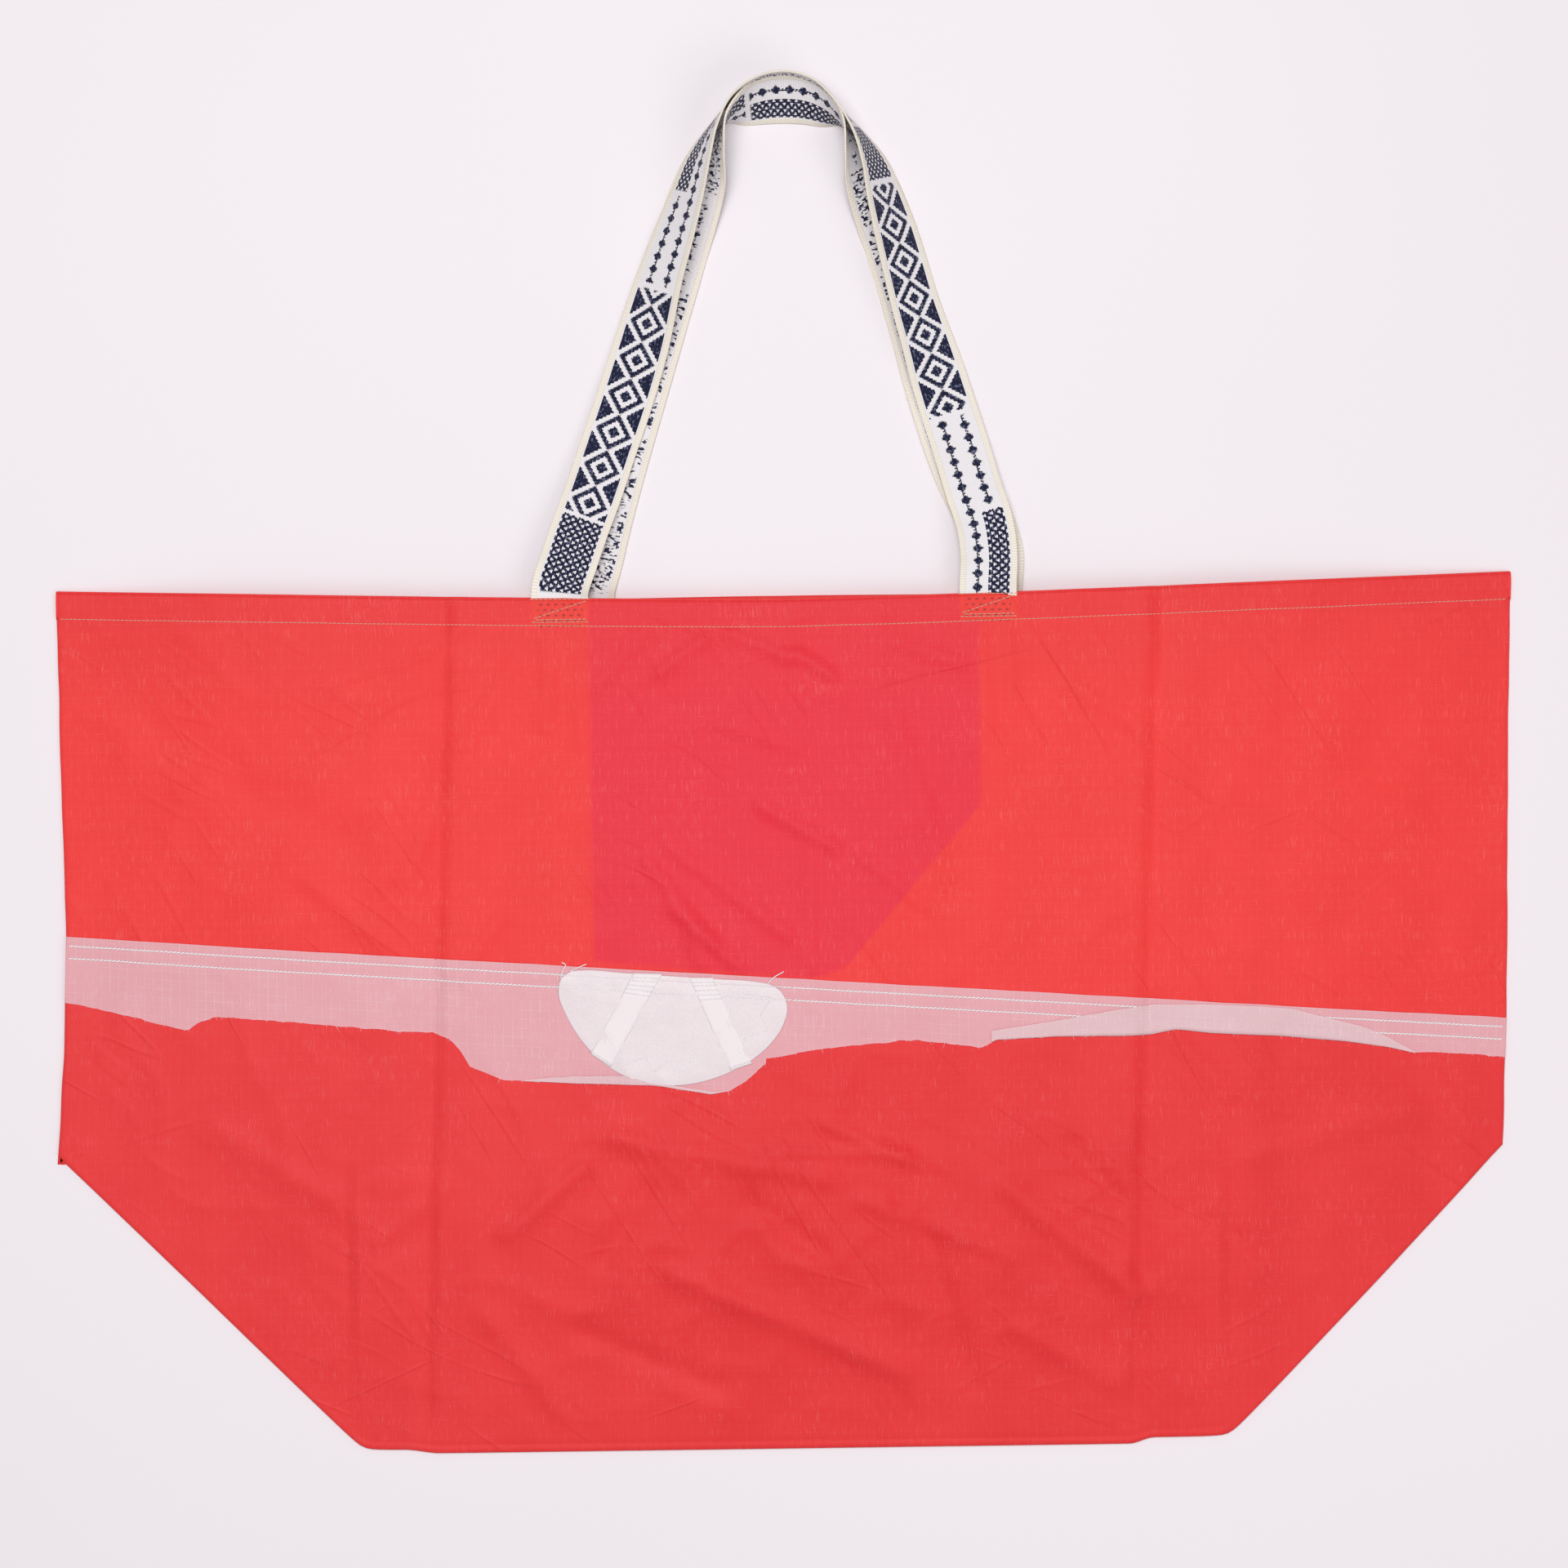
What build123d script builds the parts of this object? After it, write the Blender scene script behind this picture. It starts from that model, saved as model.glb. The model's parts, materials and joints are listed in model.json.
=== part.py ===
from build123d import *
import os

# Foldable shopping tote lying flat on its back panel. Millimetres.
# +X runs along the rim, +Y from the bottom fold to the handles, +Z up through the layers.
# The origin is the middle of the whole outline, on the surface that the bag rests on.

# Driving dimensions
mouth_width = 770.0
gusset_depth = 310.0
bag_height = 454.0
handle_rise = 274.0
hem_width = 14.0
tape_width = 30.0
tape_thickness = 1.2
cloth = 0.6
trim = 0.4
left_crease_x = -183.0
right_crease_x = 190.0
crease_gap = 0.4
left_seam_drop = 178.0
right_seam_drop = 231.5
cavity = 5.4
pocket_gap = 4.4

# Outline, worked out from the driving dimensions
half_width = mouth_width / 2
bottom_half = (mouth_width - gusset_depth) / 2
rim_y = (bag_height - handle_rise) / 2
bottom_y = rim_y - bag_height
corner_y = bottom_y + gusset_depth / 2
bottom_back_y = bottom_y + gusset_depth
hem_y = rim_y - hem_width

# Levels of the layers, from the resting surface upwards
back_z = 0.0
back_lower_z = back_z + cloth
bottom_z = back_lower_z + cloth
back_hem_z = back_z + cloth
back_hem_top = back_hem_z + tape_thickness + cloth
pocket_z = back_hem_top + cavity
front_hem_top = pocket_z + cloth + pocket_gap + cloth
front_z = front_hem_top
front_top = front_z + cloth
strip_top = front_top + trim
stitch_top = strip_top + trim
overlay_top = stitch_top + trim

# Each moving third of the bag covers one stretch of X
stretches = {
    "left": (-half_width, left_crease_x - crease_gap / 2),
    "center": (left_crease_x + crease_gap / 2, right_crease_x - crease_gap / 2),
    "right": (right_crease_x + crease_gap / 2, half_width),
}

# Handles: sewn ends along the rim and the round arch at the top
front_ends = (-116.0, 109.5)
back_ends = (-102.5, 113.0)
handle_hinge_y = rim_y + 9.0
hinge_clearance = 0.7
arch_x = 5.0
arch_radius = 48.0
arch_y = rim_y + handle_rise - arch_radius - tape_thickness / 2
arch_base = back_z + 2.4
back_arch_width = 24.0
arch_clearance = 1.6
back_arch_radius = arch_radius - arch_clearance - back_arch_width / 2
front_end_z = front_z - tape_thickness

# Seam strip: the drop of its frayed lower edge below the seam, at stations along X
strip_edge = (
    (-half_width, 34), (-317, 45), (-308, 38), (-200, 39), (-184, 39), (-171, 48), (-168, 58), (-149, 61),
    (-68, 60), (-40, 62), (-24, 57), (-11, 43), (50, 30), (103, 30), (112, 25), (176, 20), (205, 15),
    (295, 16), (334, 20), (half_width, 20),
)
turnback_edge = ((112, 19), (176, 6), (194, 2.5), (267, 1.5), (305, 8), (318, 12), (330, 19))
tail_turnback = ((-136, 60), (-114, 57), (-96, 57), (-96, 60))

# Reinforcement patch over the seam
patch_x = -59.5
patch_half_width = 60.0
patch_top_half = 52.0
patch_shoulder = 12.0
patch_drop = 60.0
patch_lead = 1.5
patch_tape_width = 13.0
patch_tapes = {"left": (-12.9, -38.9), "right": (15.2, 35.5)}
patch_tape_drop = 47.0
zigzag_inset = 6.0
zigzag_width = 3.0
row_width = 0.8
row_drops = (4.2, 10.8)

# Inner pocket
pocket_left = -101.0
pocket_right = 104.0
pocket_chamfer_y = -24.0
pocket_foot_x = 20.0
pocket_top_y = hem_y - 4.0


def seam_y(x):
    """Height of the slanted seam between the upper and lower front panels."""
    share = (x + half_width) / mouth_width
    return rim_y - left_seam_drop - share * (right_seam_drop - left_seam_drop)


def below_seam(points):
    """Turns (x, drop below the seam) into (x, y)."""
    return [(x, seam_y(x) - drop) for x, drop in points]


def save(piece, name):
    """Labels a finished piece and writes it as one STEP file."""
    piece.part.label = name
    export_step(piece.part, f"parts/{name}.step")


def outline(points):
    """A closed face through the points, in the sketch that is open."""
    Polygon(*points, align=None)


def keep_stretch(side):
    """Cuts the open sketch to the stretch of X that one third of the bag covers."""
    low, high = stretches[side]
    with Locations(((low + high) / 2, 0)):
        Rectangle(high - low, 2 * bag_height, mode=Mode.INTERSECT)


def cloth_sheet(name, points, base, side=None, thickness=cloth):
    """One flat layer of cloth, cut to its third of the bag where it has one."""
    with BuildPart() as sheet:
        with BuildSketch(Plane.XY.offset(base)):
            outline(points)
            if side:
                keep_stretch(side)
        extrude(amount=thickness)
    save(sheet, name)


os.makedirs("parts", exist_ok=True)

# Front panels, above and below the slanted seam
upper_points = [
    (-half_width, seam_y(-half_width)), (half_width, seam_y(half_width)), (half_width, rim_y), (-half_width, rim_y),
]
lower_points = [
    (-half_width, seam_y(-half_width)), (-half_width, corner_y), (-bottom_half, bottom_y),
    (bottom_half, bottom_y), (half_width, corner_y), (half_width, seam_y(half_width)),
]
# The fold wall follows the two cut-off corners and the bottom fold, one cloth thick
diagonal_shift = cloth * 2**0.5
fold_points = [
    (-half_width, corner_y), (-bottom_half, bottom_y), (bottom_half, bottom_y), (half_width, corner_y),
    (half_width, corner_y + diagonal_shift), (bottom_half - cloth / 2, bottom_y + cloth),
    (-bottom_half + cloth / 2, bottom_y + cloth), (-half_width, corner_y + diagonal_shift),
]
for side in stretches:
    cloth_sheet(f"front_upper_{side}", upper_points, front_z, side)
    with BuildPart() as front_lower:
        with BuildSketch(Plane.XY.offset(front_z)):
            outline(lower_points)
            keep_stretch(side)
        extrude(amount=cloth)
        with BuildSketch(Plane.XY.offset(bottom_z + cloth)):
            outline(fold_points)
            keep_stretch(side)
        extrude(amount=front_z - bottom_z - cloth)
    save(front_lower, f"front_lower_{side}")

# Back panel: its upper part up to the rim and the strip folded up inside it
back_points = [(-half_width, corner_y), (half_width, corner_y), (half_width, rim_y), (-half_width, rim_y)]
back_fold_points = [
    (-half_width, corner_y), (half_width, corner_y), (bottom_half, bottom_back_y), (-bottom_half, bottom_back_y),
]
bottom_points = [
    (-bottom_half, bottom_y), (bottom_half, bottom_y), (bottom_half, bottom_back_y), (-bottom_half, bottom_back_y),
]
for side in stretches:
    cloth_sheet(f"back_upper_{side}", back_points, back_z, side)
    cloth_sheet(f"back_lower_{side}", back_fold_points, back_lower_z, side)
    cloth_sheet(f"bottom_{side}", bottom_points, bottom_z, side)

# Corner gussets: the triangles of the side walls that fold in behind the cut-off corners
for side, sign in (("left", -1), ("right", 1)):
    gusset_points = [
        (sign * bottom_half, bottom_y), (sign * half_width, corner_y), (sign * bottom_half, bottom_back_y),
    ]
    cloth_sheet(f"{side}_gusset", gusset_points, bottom_z)

# Side seams close the bag between the back and front panels
corner_clearance = 4.0
seam_foot_y = corner_y + corner_clearance
seam_length = rim_y - seam_foot_y
seam_allowance = 1.0
for side, sign in (("left", -1), ("right", 1)):
    with BuildPart() as side_seam:
        with BuildSketch(Plane.XY.offset(back_hem_z)):
            with Locations((sign * (half_width - seam_allowance / 2), seam_foot_y + seam_length / 2)):
                Rectangle(seam_allowance, seam_length)
        extrude(amount=front_z - back_hem_z)
    save(side_seam, f"{side}_side_seam")


def hem(name, base, direction, side, ends):
    """A folded hem on the inside of a panel. It steps over the handle ends sewn under it."""
    with BuildPart() as folded:
        with BuildSketch(Plane.XY.offset(base)):
            with Locations((0, rim_y - hem_width / 2)):
                Rectangle(mouth_width - 2 * seam_allowance, hem_width)
            keep_stretch(side)
        extrude(amount=direction * cloth)
        if side == "center":
            with BuildSketch(Plane.XY.offset(base)):
                with Locations(*[(x, rim_y - hem_width / 2) for x in ends]):
                    Rectangle(tape_width + 2 * cloth, hem_width)
            extrude(amount=direction * (tape_thickness + cloth))
            with BuildSketch(Plane.XY.offset(base)):
                with Locations(*[(x, rim_y - hem_width / 2) for x in ends]):
                    Rectangle(tape_width, hem_width)
            extrude(amount=direction * tape_thickness, mode=Mode.SUBTRACT)
    save(folded, name)


for side in stretches:
    hem(f"front_hem_{side}", front_hem_top, -1, side, front_ends)
    hem(f"back_hem_{side}", back_hem_z, 1, side, back_ends)

# Stitch rows run as thin raised lines of thread
hem_row = [
    (-half_width, hem_y - row_width / 2), (half_width, hem_y - row_width / 2),
    (half_width, hem_y + row_width / 2), (-half_width, hem_y + row_width / 2),
]
for side in stretches:
    cloth_sheet(f"hem_stitches_{side}", hem_row, front_top, side, trim)


def row_points(drop, low, high):
    """One row of thread parallel to the seam, from low to high in X."""
    upper = drop - row_width / 2
    lower = drop + row_width / 2
    return below_seam([(low, lower), (high, lower), (high, upper), (low, upper)])


# The rows pass the reinforcement patch on top of it, and the strip itself on both sides
patch_span = (patch_x - patch_half_width - 2.0, patch_x + patch_half_width + 2.0)
for side in stretches:
    with BuildPart() as seam_stitches:
        with BuildSketch(Plane.XY.offset(strip_top)):
            for drop in row_drops:
                outline(row_points(drop, -half_width, patch_span[0]))
                outline(row_points(drop, patch_span[1], half_width))
            keep_stretch(side)
        extrude(amount=trim)
        if side == "center":
            with BuildSketch(Plane.XY.offset(overlay_top)):
                for drop in row_drops:
                    outline(row_points(drop, *patch_span))
            extrude(amount=trim)
    save(seam_stitches, f"seam_stitches_{side}")

# Seam strip with its frayed lower edge, and the stretches of that edge that are folded back up
strip_points = below_seam([*strip_edge, (half_width, 0), (-half_width, 0)])
for side in stretches:
    cloth_sheet(f"rib_strip_{side}", strip_points, front_top, side, trim)

turnback_points = below_seam([*turnback_edge, (295, 16), (205, 15), (176, 20)])
for side in ("center", "right"):
    cloth_sheet(f"rib_turnback_{side}", turnback_points, stitch_top, side, trim)
cloth_sheet("rib_tail_turnback", below_seam(tail_turnback), strip_top, None, trim)

# Reinforcement patch, its two tapes and its stitched border, set square to the slanted seam
seam_angle = Vector(1, 0, 0).get_signed_angle(Vector(mouth_width, seam_y(half_width) - seam_y(-half_width), 0))


def patch_plane(height):
    """Plane at the top middle of the patch, turned to the seam's slope."""
    origin = (patch_x, seam_y(patch_x) - patch_lead, height)
    return Plane(origin=origin, z_dir=(0, 0, 1)).rotated((0, 0, seam_angle))


def patch_outline(inset):
    """The patch's shape: straight top, sloped shoulders and a half-ellipse below them."""
    half = patch_half_width - inset
    top_half = patch_top_half - inset
    with BuildLine() as border:
        Polyline((-half, -patch_shoulder), (-top_half, -inset), (top_half, -inset), (half, -patch_shoulder))
        EllipticalCenterArc((0, -patch_shoulder), half, patch_drop - patch_shoulder - inset, 180, arc_size=180)
    make_face(border.edges())


def tape_outline(top_x, foot_x, extra=0.0):
    """One leg of the patch's inverted V of tape."""
    half = patch_tape_width / 2 + extra
    outline([
        (top_x - half, -patch_lead), (top_x + half, -patch_lead),
        (foot_x + half, -patch_tape_drop), (foot_x - half, -patch_tape_drop),
    ])


with BuildPart() as reinforcement_patch:
    with BuildSketch(patch_plane(strip_top)):
        patch_outline(0.0)
    extrude(amount=trim)
save(reinforcement_patch, "reinforcement_patch")

for side, (top_x, foot_x) in patch_tapes.items():
    with BuildPart() as patch_tape:
        with BuildSketch(patch_plane(stitch_top)):
            tape_outline(top_x, foot_x)
        extrude(amount=trim)
    save(patch_tape, f"patch_tape_{side}")

with BuildPart() as patch_stitches:
    with BuildSketch(patch_plane(stitch_top)):
        patch_outline(zigzag_inset)
        with BuildSketch(mode=Mode.SUBTRACT):
            patch_outline(zigzag_inset + zigzag_width)
        with BuildSketch(mode=Mode.SUBTRACT):
            for top_x, foot_x in patch_tapes.values():
                tape_outline(top_x, foot_x, extra=0.2)
    extrude(amount=trim)
save(patch_stitches, "patch_stitches")

# Loose thread ends beside the patch's top corners, each leaning over to the right
thread_length = 7.0
thread_lean = 3.0
thread_xs = (-117.0, -110.0, -8.0)
thread_foot = 0.5
with BuildPart() as loose_threads:
    with BuildSketch(Plane.XY.offset(front_top)):
        for x in thread_xs:
            foot = seam_y(x) + thread_foot
            tip = foot + thread_length
            outline([(x, foot), (x + row_width, foot), (x + thread_lean, tip), (x + thread_lean - trim, tip)])
    extrude(amount=trim)
save(loose_threads, "loose_threads")

# Inner pocket: a tray of cloth hung behind the front panel, open along its top edge
pocket_points = [
    (pocket_left, pocket_top_y), (pocket_right, pocket_top_y), (pocket_right, pocket_chamfer_y),
    (pocket_foot_x, seam_y(pocket_foot_x)), (pocket_left, seam_y(pocket_left)),
]
with BuildPart() as inner_pocket:
    with BuildSketch(Plane.XY.offset(pocket_z)):
        outline(pocket_points)
    extrude(amount=front_z - pocket_z)
    with BuildSketch(Plane.XY.offset(pocket_z + cloth)):
        outline(pocket_points)
        offset(amount=-cloth, mode=Mode.REPLACE)
        with Locations(((pocket_left + pocket_right) / 2, pocket_top_y)):
            Rectangle(pocket_right - pocket_left - 2 * cloth, 4 * cloth)
    extrude(amount=front_z - pocket_z, mode=Mode.SUBTRACT)
save(inner_pocket, "inner_pocket")

# Sewn ends of the handles, held between each hem and its panel. The back ones reach on to the hinge line.
end_length = hem_width - 0.5
for side, x in zip(("left", "right"), front_ends):
    with BuildPart() as front_end:
        with BuildSketch(Plane.XY.offset(front_end_z)):
            with Locations((x, rim_y - end_length / 2)):
                Rectangle(tape_width, end_length)
        extrude(amount=tape_thickness)
    save(front_end, f"front_handle_end_{side}")

back_end_reach = handle_hinge_y - hinge_clearance
for side, x in zip(("left", "right"), back_ends):
    with BuildPart() as back_end:
        with BuildSketch(Plane.XY.offset(back_hem_z)):
            with Locations((x, (back_end_reach + rim_y - end_length) / 2)):
                Rectangle(tape_width, back_end_reach - rim_y + end_length)
        extrude(amount=tape_thickness)
    save(back_end, f"back_handle_end_{side}")


stitch_margin = 1.5


def end_stitches(name, base, ends):
    """Thread across each sewn end: a top row, a diagonal and a bottom row."""
    half = tape_width / 2
    top = rim_y - stitch_margin
    foot = hem_y + stitch_margin
    with BuildPart() as threads:
        with BuildSketch(Plane.XY.offset(base)):
            for x in ends:
                with Locations((x, top), (x, foot)):
                    Rectangle(tape_width, row_width)
                right, left = x + half, x - half
                outline([(right, top), (right - row_width, top), (left, foot), (left + row_width, foot)])
        extrude(amount=trim)
    save(threads, name)


end_stitches("front_handle_stitches", front_top, front_ends)
end_stitches("back_handle_stitches", back_hem_top, back_ends)


def leg_outline(foot_x, top_x):
    """A flat slanted leg of tape, from the hinge line up to the arch."""
    half = tape_width / 2
    outline([
        (foot_x - half, handle_hinge_y), (foot_x + half, handle_hinge_y),
        (top_x + half, arch_y), (top_x - half, arch_y),
    ])


def arch_band(radius, width):
    """The half ring at the top of a handle."""
    with Locations((arch_x, arch_y)):
        Circle(radius + width / 2)
        Circle(radius - width / 2, mode=Mode.SUBTRACT)
    with Locations((arch_x, arch_y - arch_radius)):
        Rectangle(4 * arch_radius, 2 * arch_radius, mode=Mode.SUBTRACT)


# Front handle: flat legs that turn on edge into an upright arch
with BuildPart() as front_handle_tape:
    with BuildSketch(Plane.XY.offset(front_end_z)):
        leg_outline(front_ends[0], arch_x - arch_radius)
        leg_outline(front_ends[1], arch_x + arch_radius)
    extrude(amount=tape_thickness)
    with BuildSketch(Plane.XY.offset(arch_base)):
        arch_band(arch_radius, tape_thickness)
    extrude(amount=tape_width)
save(front_handle_tape, "front_handle_tape")

# Back handle: the same tape lying flat, its arch turned face up inside the front one
with BuildPart() as back_handle_tape:
    with BuildSketch(Plane.XY.offset(back_hem_z)):
        arch_band(back_arch_radius, back_arch_width)
        leg_outline(back_ends[0], arch_x - back_arch_radius)
        leg_outline(back_ends[1], arch_x + back_arch_radius)
    extrude(amount=tape_thickness)
save(back_handle_tape, "back_handle_tape")
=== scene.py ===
"""Foldable tote bag lying flat: cloth, tapes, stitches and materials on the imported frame."""
import json
import math
from functools import reduce
from random import Random

import bpy
import numpy as np
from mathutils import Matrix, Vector, noise


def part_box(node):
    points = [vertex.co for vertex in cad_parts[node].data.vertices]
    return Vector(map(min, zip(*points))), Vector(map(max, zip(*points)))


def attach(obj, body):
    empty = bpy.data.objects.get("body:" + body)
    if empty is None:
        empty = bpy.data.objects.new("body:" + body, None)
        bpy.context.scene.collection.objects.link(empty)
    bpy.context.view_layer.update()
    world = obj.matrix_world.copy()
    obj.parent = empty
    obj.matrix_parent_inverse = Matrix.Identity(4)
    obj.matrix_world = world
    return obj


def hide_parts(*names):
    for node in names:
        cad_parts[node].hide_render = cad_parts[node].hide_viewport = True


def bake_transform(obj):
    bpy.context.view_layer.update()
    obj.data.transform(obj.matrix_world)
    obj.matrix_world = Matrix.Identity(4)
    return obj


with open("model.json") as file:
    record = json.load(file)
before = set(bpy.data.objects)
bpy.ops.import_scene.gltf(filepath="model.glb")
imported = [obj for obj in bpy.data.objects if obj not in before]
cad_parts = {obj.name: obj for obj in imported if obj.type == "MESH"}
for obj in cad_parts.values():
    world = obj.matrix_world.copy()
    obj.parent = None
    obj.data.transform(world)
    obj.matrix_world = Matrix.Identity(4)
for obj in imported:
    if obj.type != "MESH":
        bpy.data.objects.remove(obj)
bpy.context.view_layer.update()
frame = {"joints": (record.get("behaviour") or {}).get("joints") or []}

MM = 0.001


# ---- places, all from the frame
def end_middles(handle):
    """The x of the middles of a handle's left and right sewn ends."""
    boxes = [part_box(f"{handle}_end_{side}") for side in ("left", "right")]
    return [(low[0] + high[0]) / 2 for low, high in boxes]


joint_at = {joint["name"]: joint["pos_m"] for joint in frame["joints"]}
SIGNS = {"left": -1, "right": 1}
CREASES = {side: joint_at[f"{side}_wing_fold"][0] for side in SIGNS}
MIDDLE = (CREASES["left"] + CREASES["right"]) / 2
HINGE_Y = joint_at["front_handle_swing"][1]
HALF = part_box("back_upper_right")[1][0]
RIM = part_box("back_upper_center")[1][1]
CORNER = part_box("back_upper_right")[0][1]
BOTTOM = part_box("bottom_center")[0][1]
BOTTOM_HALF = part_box("bottom_right")[1][0]
FOLD_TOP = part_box("bottom_center")[1][1]
SEAM_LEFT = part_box("front_lower_left")[1][1]
SEAM_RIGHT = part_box("front_upper_right")[0][1]
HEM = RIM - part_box("front_hem_center")[0][1]
POCKET_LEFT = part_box("inner_pocket")[0][0]
POCKET_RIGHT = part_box("inner_pocket")[1][0]
FRONT_ENDS = end_middles("front_handle")
BACK_ENDS = end_middles("back_handle")

CLOTH = 0.3 * MM
TAPE_WIDTH = 30 * MM
TAPE_THICKNESS = 1.0 * MM
CREASE_REACH = 12 * MM
PITCH = 3.0 * MM
STITCH_PITCH = 2.3 * MM
ROW_DROPS = (4.2 * MM, 10.8 * MM)  # the two stitch rows, below the seam


# ---- small helpers
def smooth(value, low, high):
    """0 before low, 1 after high, and an S curve between them."""
    share = np.clip((np.asarray(value, float) - low) / (high - low), 0, 1)
    return share * share * (3 - 2 * share)


def bell(value, width):
    """1 at 0, falling off to both sides over the width."""
    return np.exp(-((value / width) ** 2))


def upper_of(first, second, softness):
    """The larger of two values, with a rounded changeover."""
    return (first + second + np.sqrt((first - second) ** 2 + softness**2)) / 2


def soft_noise(x, y, size, seed):
    """Smooth noise from about -1 to 1, with features of the given size."""
    x, y = np.broadcast_arrays(np.asarray(x, float), np.asarray(y, float))
    values = [noise.noise((a / size, b / size, seed)) for a, b in zip(x.ravel(), y.ravel())]
    return np.array(values).reshape(x.shape)


def between(stations, place):
    """Millimetres read off a line through stations in millimetres, at a place in metres."""
    return np.interp(place / MM, *zip(*stations))


def together(*coordinates):
    """Points or flat points made from their coordinates."""
    return np.stack(np.broadcast_arrays(*coordinates), axis=-1)


def distances_along(points):
    """How far along a line of points each of them is."""
    return np.concatenate([[0], np.cumsum(np.linalg.norm(np.diff(points, axis=0), axis=1))])


def point_at(distance, walked, points):
    """The point at a distance along a line of points."""
    return np.array([np.interp(distance, walked, column) for column in points.T])


# ---- the outline, as it lies
def seam_y(x):
    """The slanted seam between the upper and lower front panels."""
    return SEAM_LEFT + (x + HALF) / (2 * HALF) * (SEAM_RIGHT - SEAM_LEFT)


def rim_y(x):
    """The front rim, which dips between the handles."""
    return RIM - 5.2 * MM + 9.7 * MM * (np.abs(x) / HALF) ** 1.3


def back_rim_y(x):
    """The back rim, which shows above the front one in the middle."""
    return rim_y(x) + 2.6 * MM * bell(x, 0.085) - 0.6 * MM


def bottom_y(x):
    """The bottom fold and the two cut-off corners."""
    rise = np.where(x < 0, 5.5 * MM, 1.0 * MM)
    diagonal = BOTTOM + np.abs(x) - BOTTOM_HALF + rise
    fold = BOTTOM + 0.3 * MM + 3.2 * MM * smooth(x, 0.179, 0.192) + 2.0 * MM * smooth(-x, 0.186, 0.205)
    return upper_of(fold, diagonal, 4 * MM)


# Stations of the side edges: y, and how far in the edge lies there, in millimetres
LEFT_SIDE = ((-209, -1.5), (-150, 2.6), (-88, 4.4), (0, 3.4), (90, 1.8))
RIGHT_SIDE = ((-216, 7.0), (-141, 3.8), (-60, 2.4), (90, -1.2))


def bowed(x, y):
    """x moved in or out, so that the side edges are as uneven as the real ones."""
    inward = np.where(x < 0, between(LEFT_SIDE, y), between(RIGHT_SIDE, y))
    ragged = 0.5 * soft_noise(y, np.sign(x), 0.022, 15.5)
    return x - np.sign(x) * (inward + ragged) * MM * (np.abs(x) / HALF) ** 4


# ---- heights
EDGE_HEIGHT = 2.4 * MM
FRONT_HEIGHT = 11.6 * MM
EDGE_ROLL = 2.4 * MM
ROLL_FOOT = 0.7 * MM
WRINKLE_STRENGTH = 1.25
CREASE_ROUNDING = 1.6 * MM
# Wrinkles of the front: x and y of their two ends, height and half-width, in millimetres
WRINKLES = (
    (-108, -213, -149, -247, 2.4, 5), (-88, -198, 19, -219, 2.0, 6), (114, -225, 182, -281, 2.6, 7),
    (-59, -270, 61, -323, 2.4, 7), (8.5, 57, 26.5, 44.5, 2.0, 3.2), (-12, -23, 26, -45, 1.8, 4),
    (-50, -91, -44, -106, 1.6, 4), (13, -45, 13, -109, 0.8, 3), (-160, -290, -120, -345, 1.4, 6),
    (70, -245, 95, -330, -1.6, 7), (-20, -232, 20, -262, -1.8, 6), (150, -205, 176, -235, -1.4, 5),
    (-75, -225, -98, -262, -1.6, 6), (215, 30, 330, -30, 0.9, 12), (-330, 20, -230, -40, -0.9, 12),
    (250, -210, 330, -190, 1.2, 8), (-300, -190, -230, -235, 1.2, 8), (60, 20, 84, -60, 1.0, 5),
    (-72, -52, -38, -96, 1.8, 4), (-60, -44, 2, -92, 1.3, 4), (-8, -205, 60, -208, 1.3, 4),
    (40, -232, 118, -262, 1.6, 5), (-110, -300, -40, -330, -1.5, 6), (120, -300, 170, -330, 1.4, 6),
    (-165, 74, -190, 60, 0.9, 4), (60, 62, 96, 50, 1.1, 4), (205, -150, 235, -178, 1.2, 5),
    (-215, -250, -180, -222, 1.1, 5), (-70, 70, -98, 40, 0.9, 4), (210, -240, 250, -262, -1.0, 6),
    (-27, 68, 5, 54, 1.5, 3.2), (-65, 47, -40, 65, 1.4, 3.2), (-60, -76, -24, -108, 1.8, 3.2),
    (20, -191, 65, -211, 1.8, 4), (-121, 72, -124, 20, 0.9, 3.5), (-108, 72, -106, 10, 0.8, 3.5),
    (105, 72, 108, 15, 0.9, 3.5), (118, 72, 122, 25, 0.8, 3.5), (-180, -20, -200, -60, 1.0, 4),
    (-150, -80, -172, -112, 1.2, 4), (150, 40, 188, 14, 1.0, 4), (-30, 20, 10, 6, 0.9, 3.5),
    (40, -50, 74, -78, 1.2, 3.5), (-250, -60, -214, -92, 1.0, 5), (-140, 55, -168, 10, 0.9, 5),
)
# The storage creases, given in the same way: a groove and a ridge each
CREASE_LINES = (
    (-177, 92, -194, -364, -2.0, 4), (-170, 92, -187, -364, 1.2, 4),
    (201, 92, 182, -364, -2.4, 4), (193, 92, 174, -364, 1.3, 5),
)


def line_distance(x, y, ends):
    """Distance to the straight piece between two ends given in millimetres."""
    ax, ay, bx, by = (value * MM for value in ends)
    share = ((x - ax) * (bx - ax) + (y - ay) * (by - ay)) / ((bx - ax) ** 2 + (by - ay) ** 2)
    share = np.clip(share, 0, 1)
    return np.hypot(x - ax - share * (bx - ax), y - ay - share * (by - ay))


def edge_distance(x, y):
    """Distance in from the side edges, the cut-off corners and the bottom fold."""
    return np.minimum(HALF - np.abs(x), (y - bottom_y(x)) * np.where(np.abs(x) > BOTTOM_HALF, 0.71, 1.0))


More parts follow.
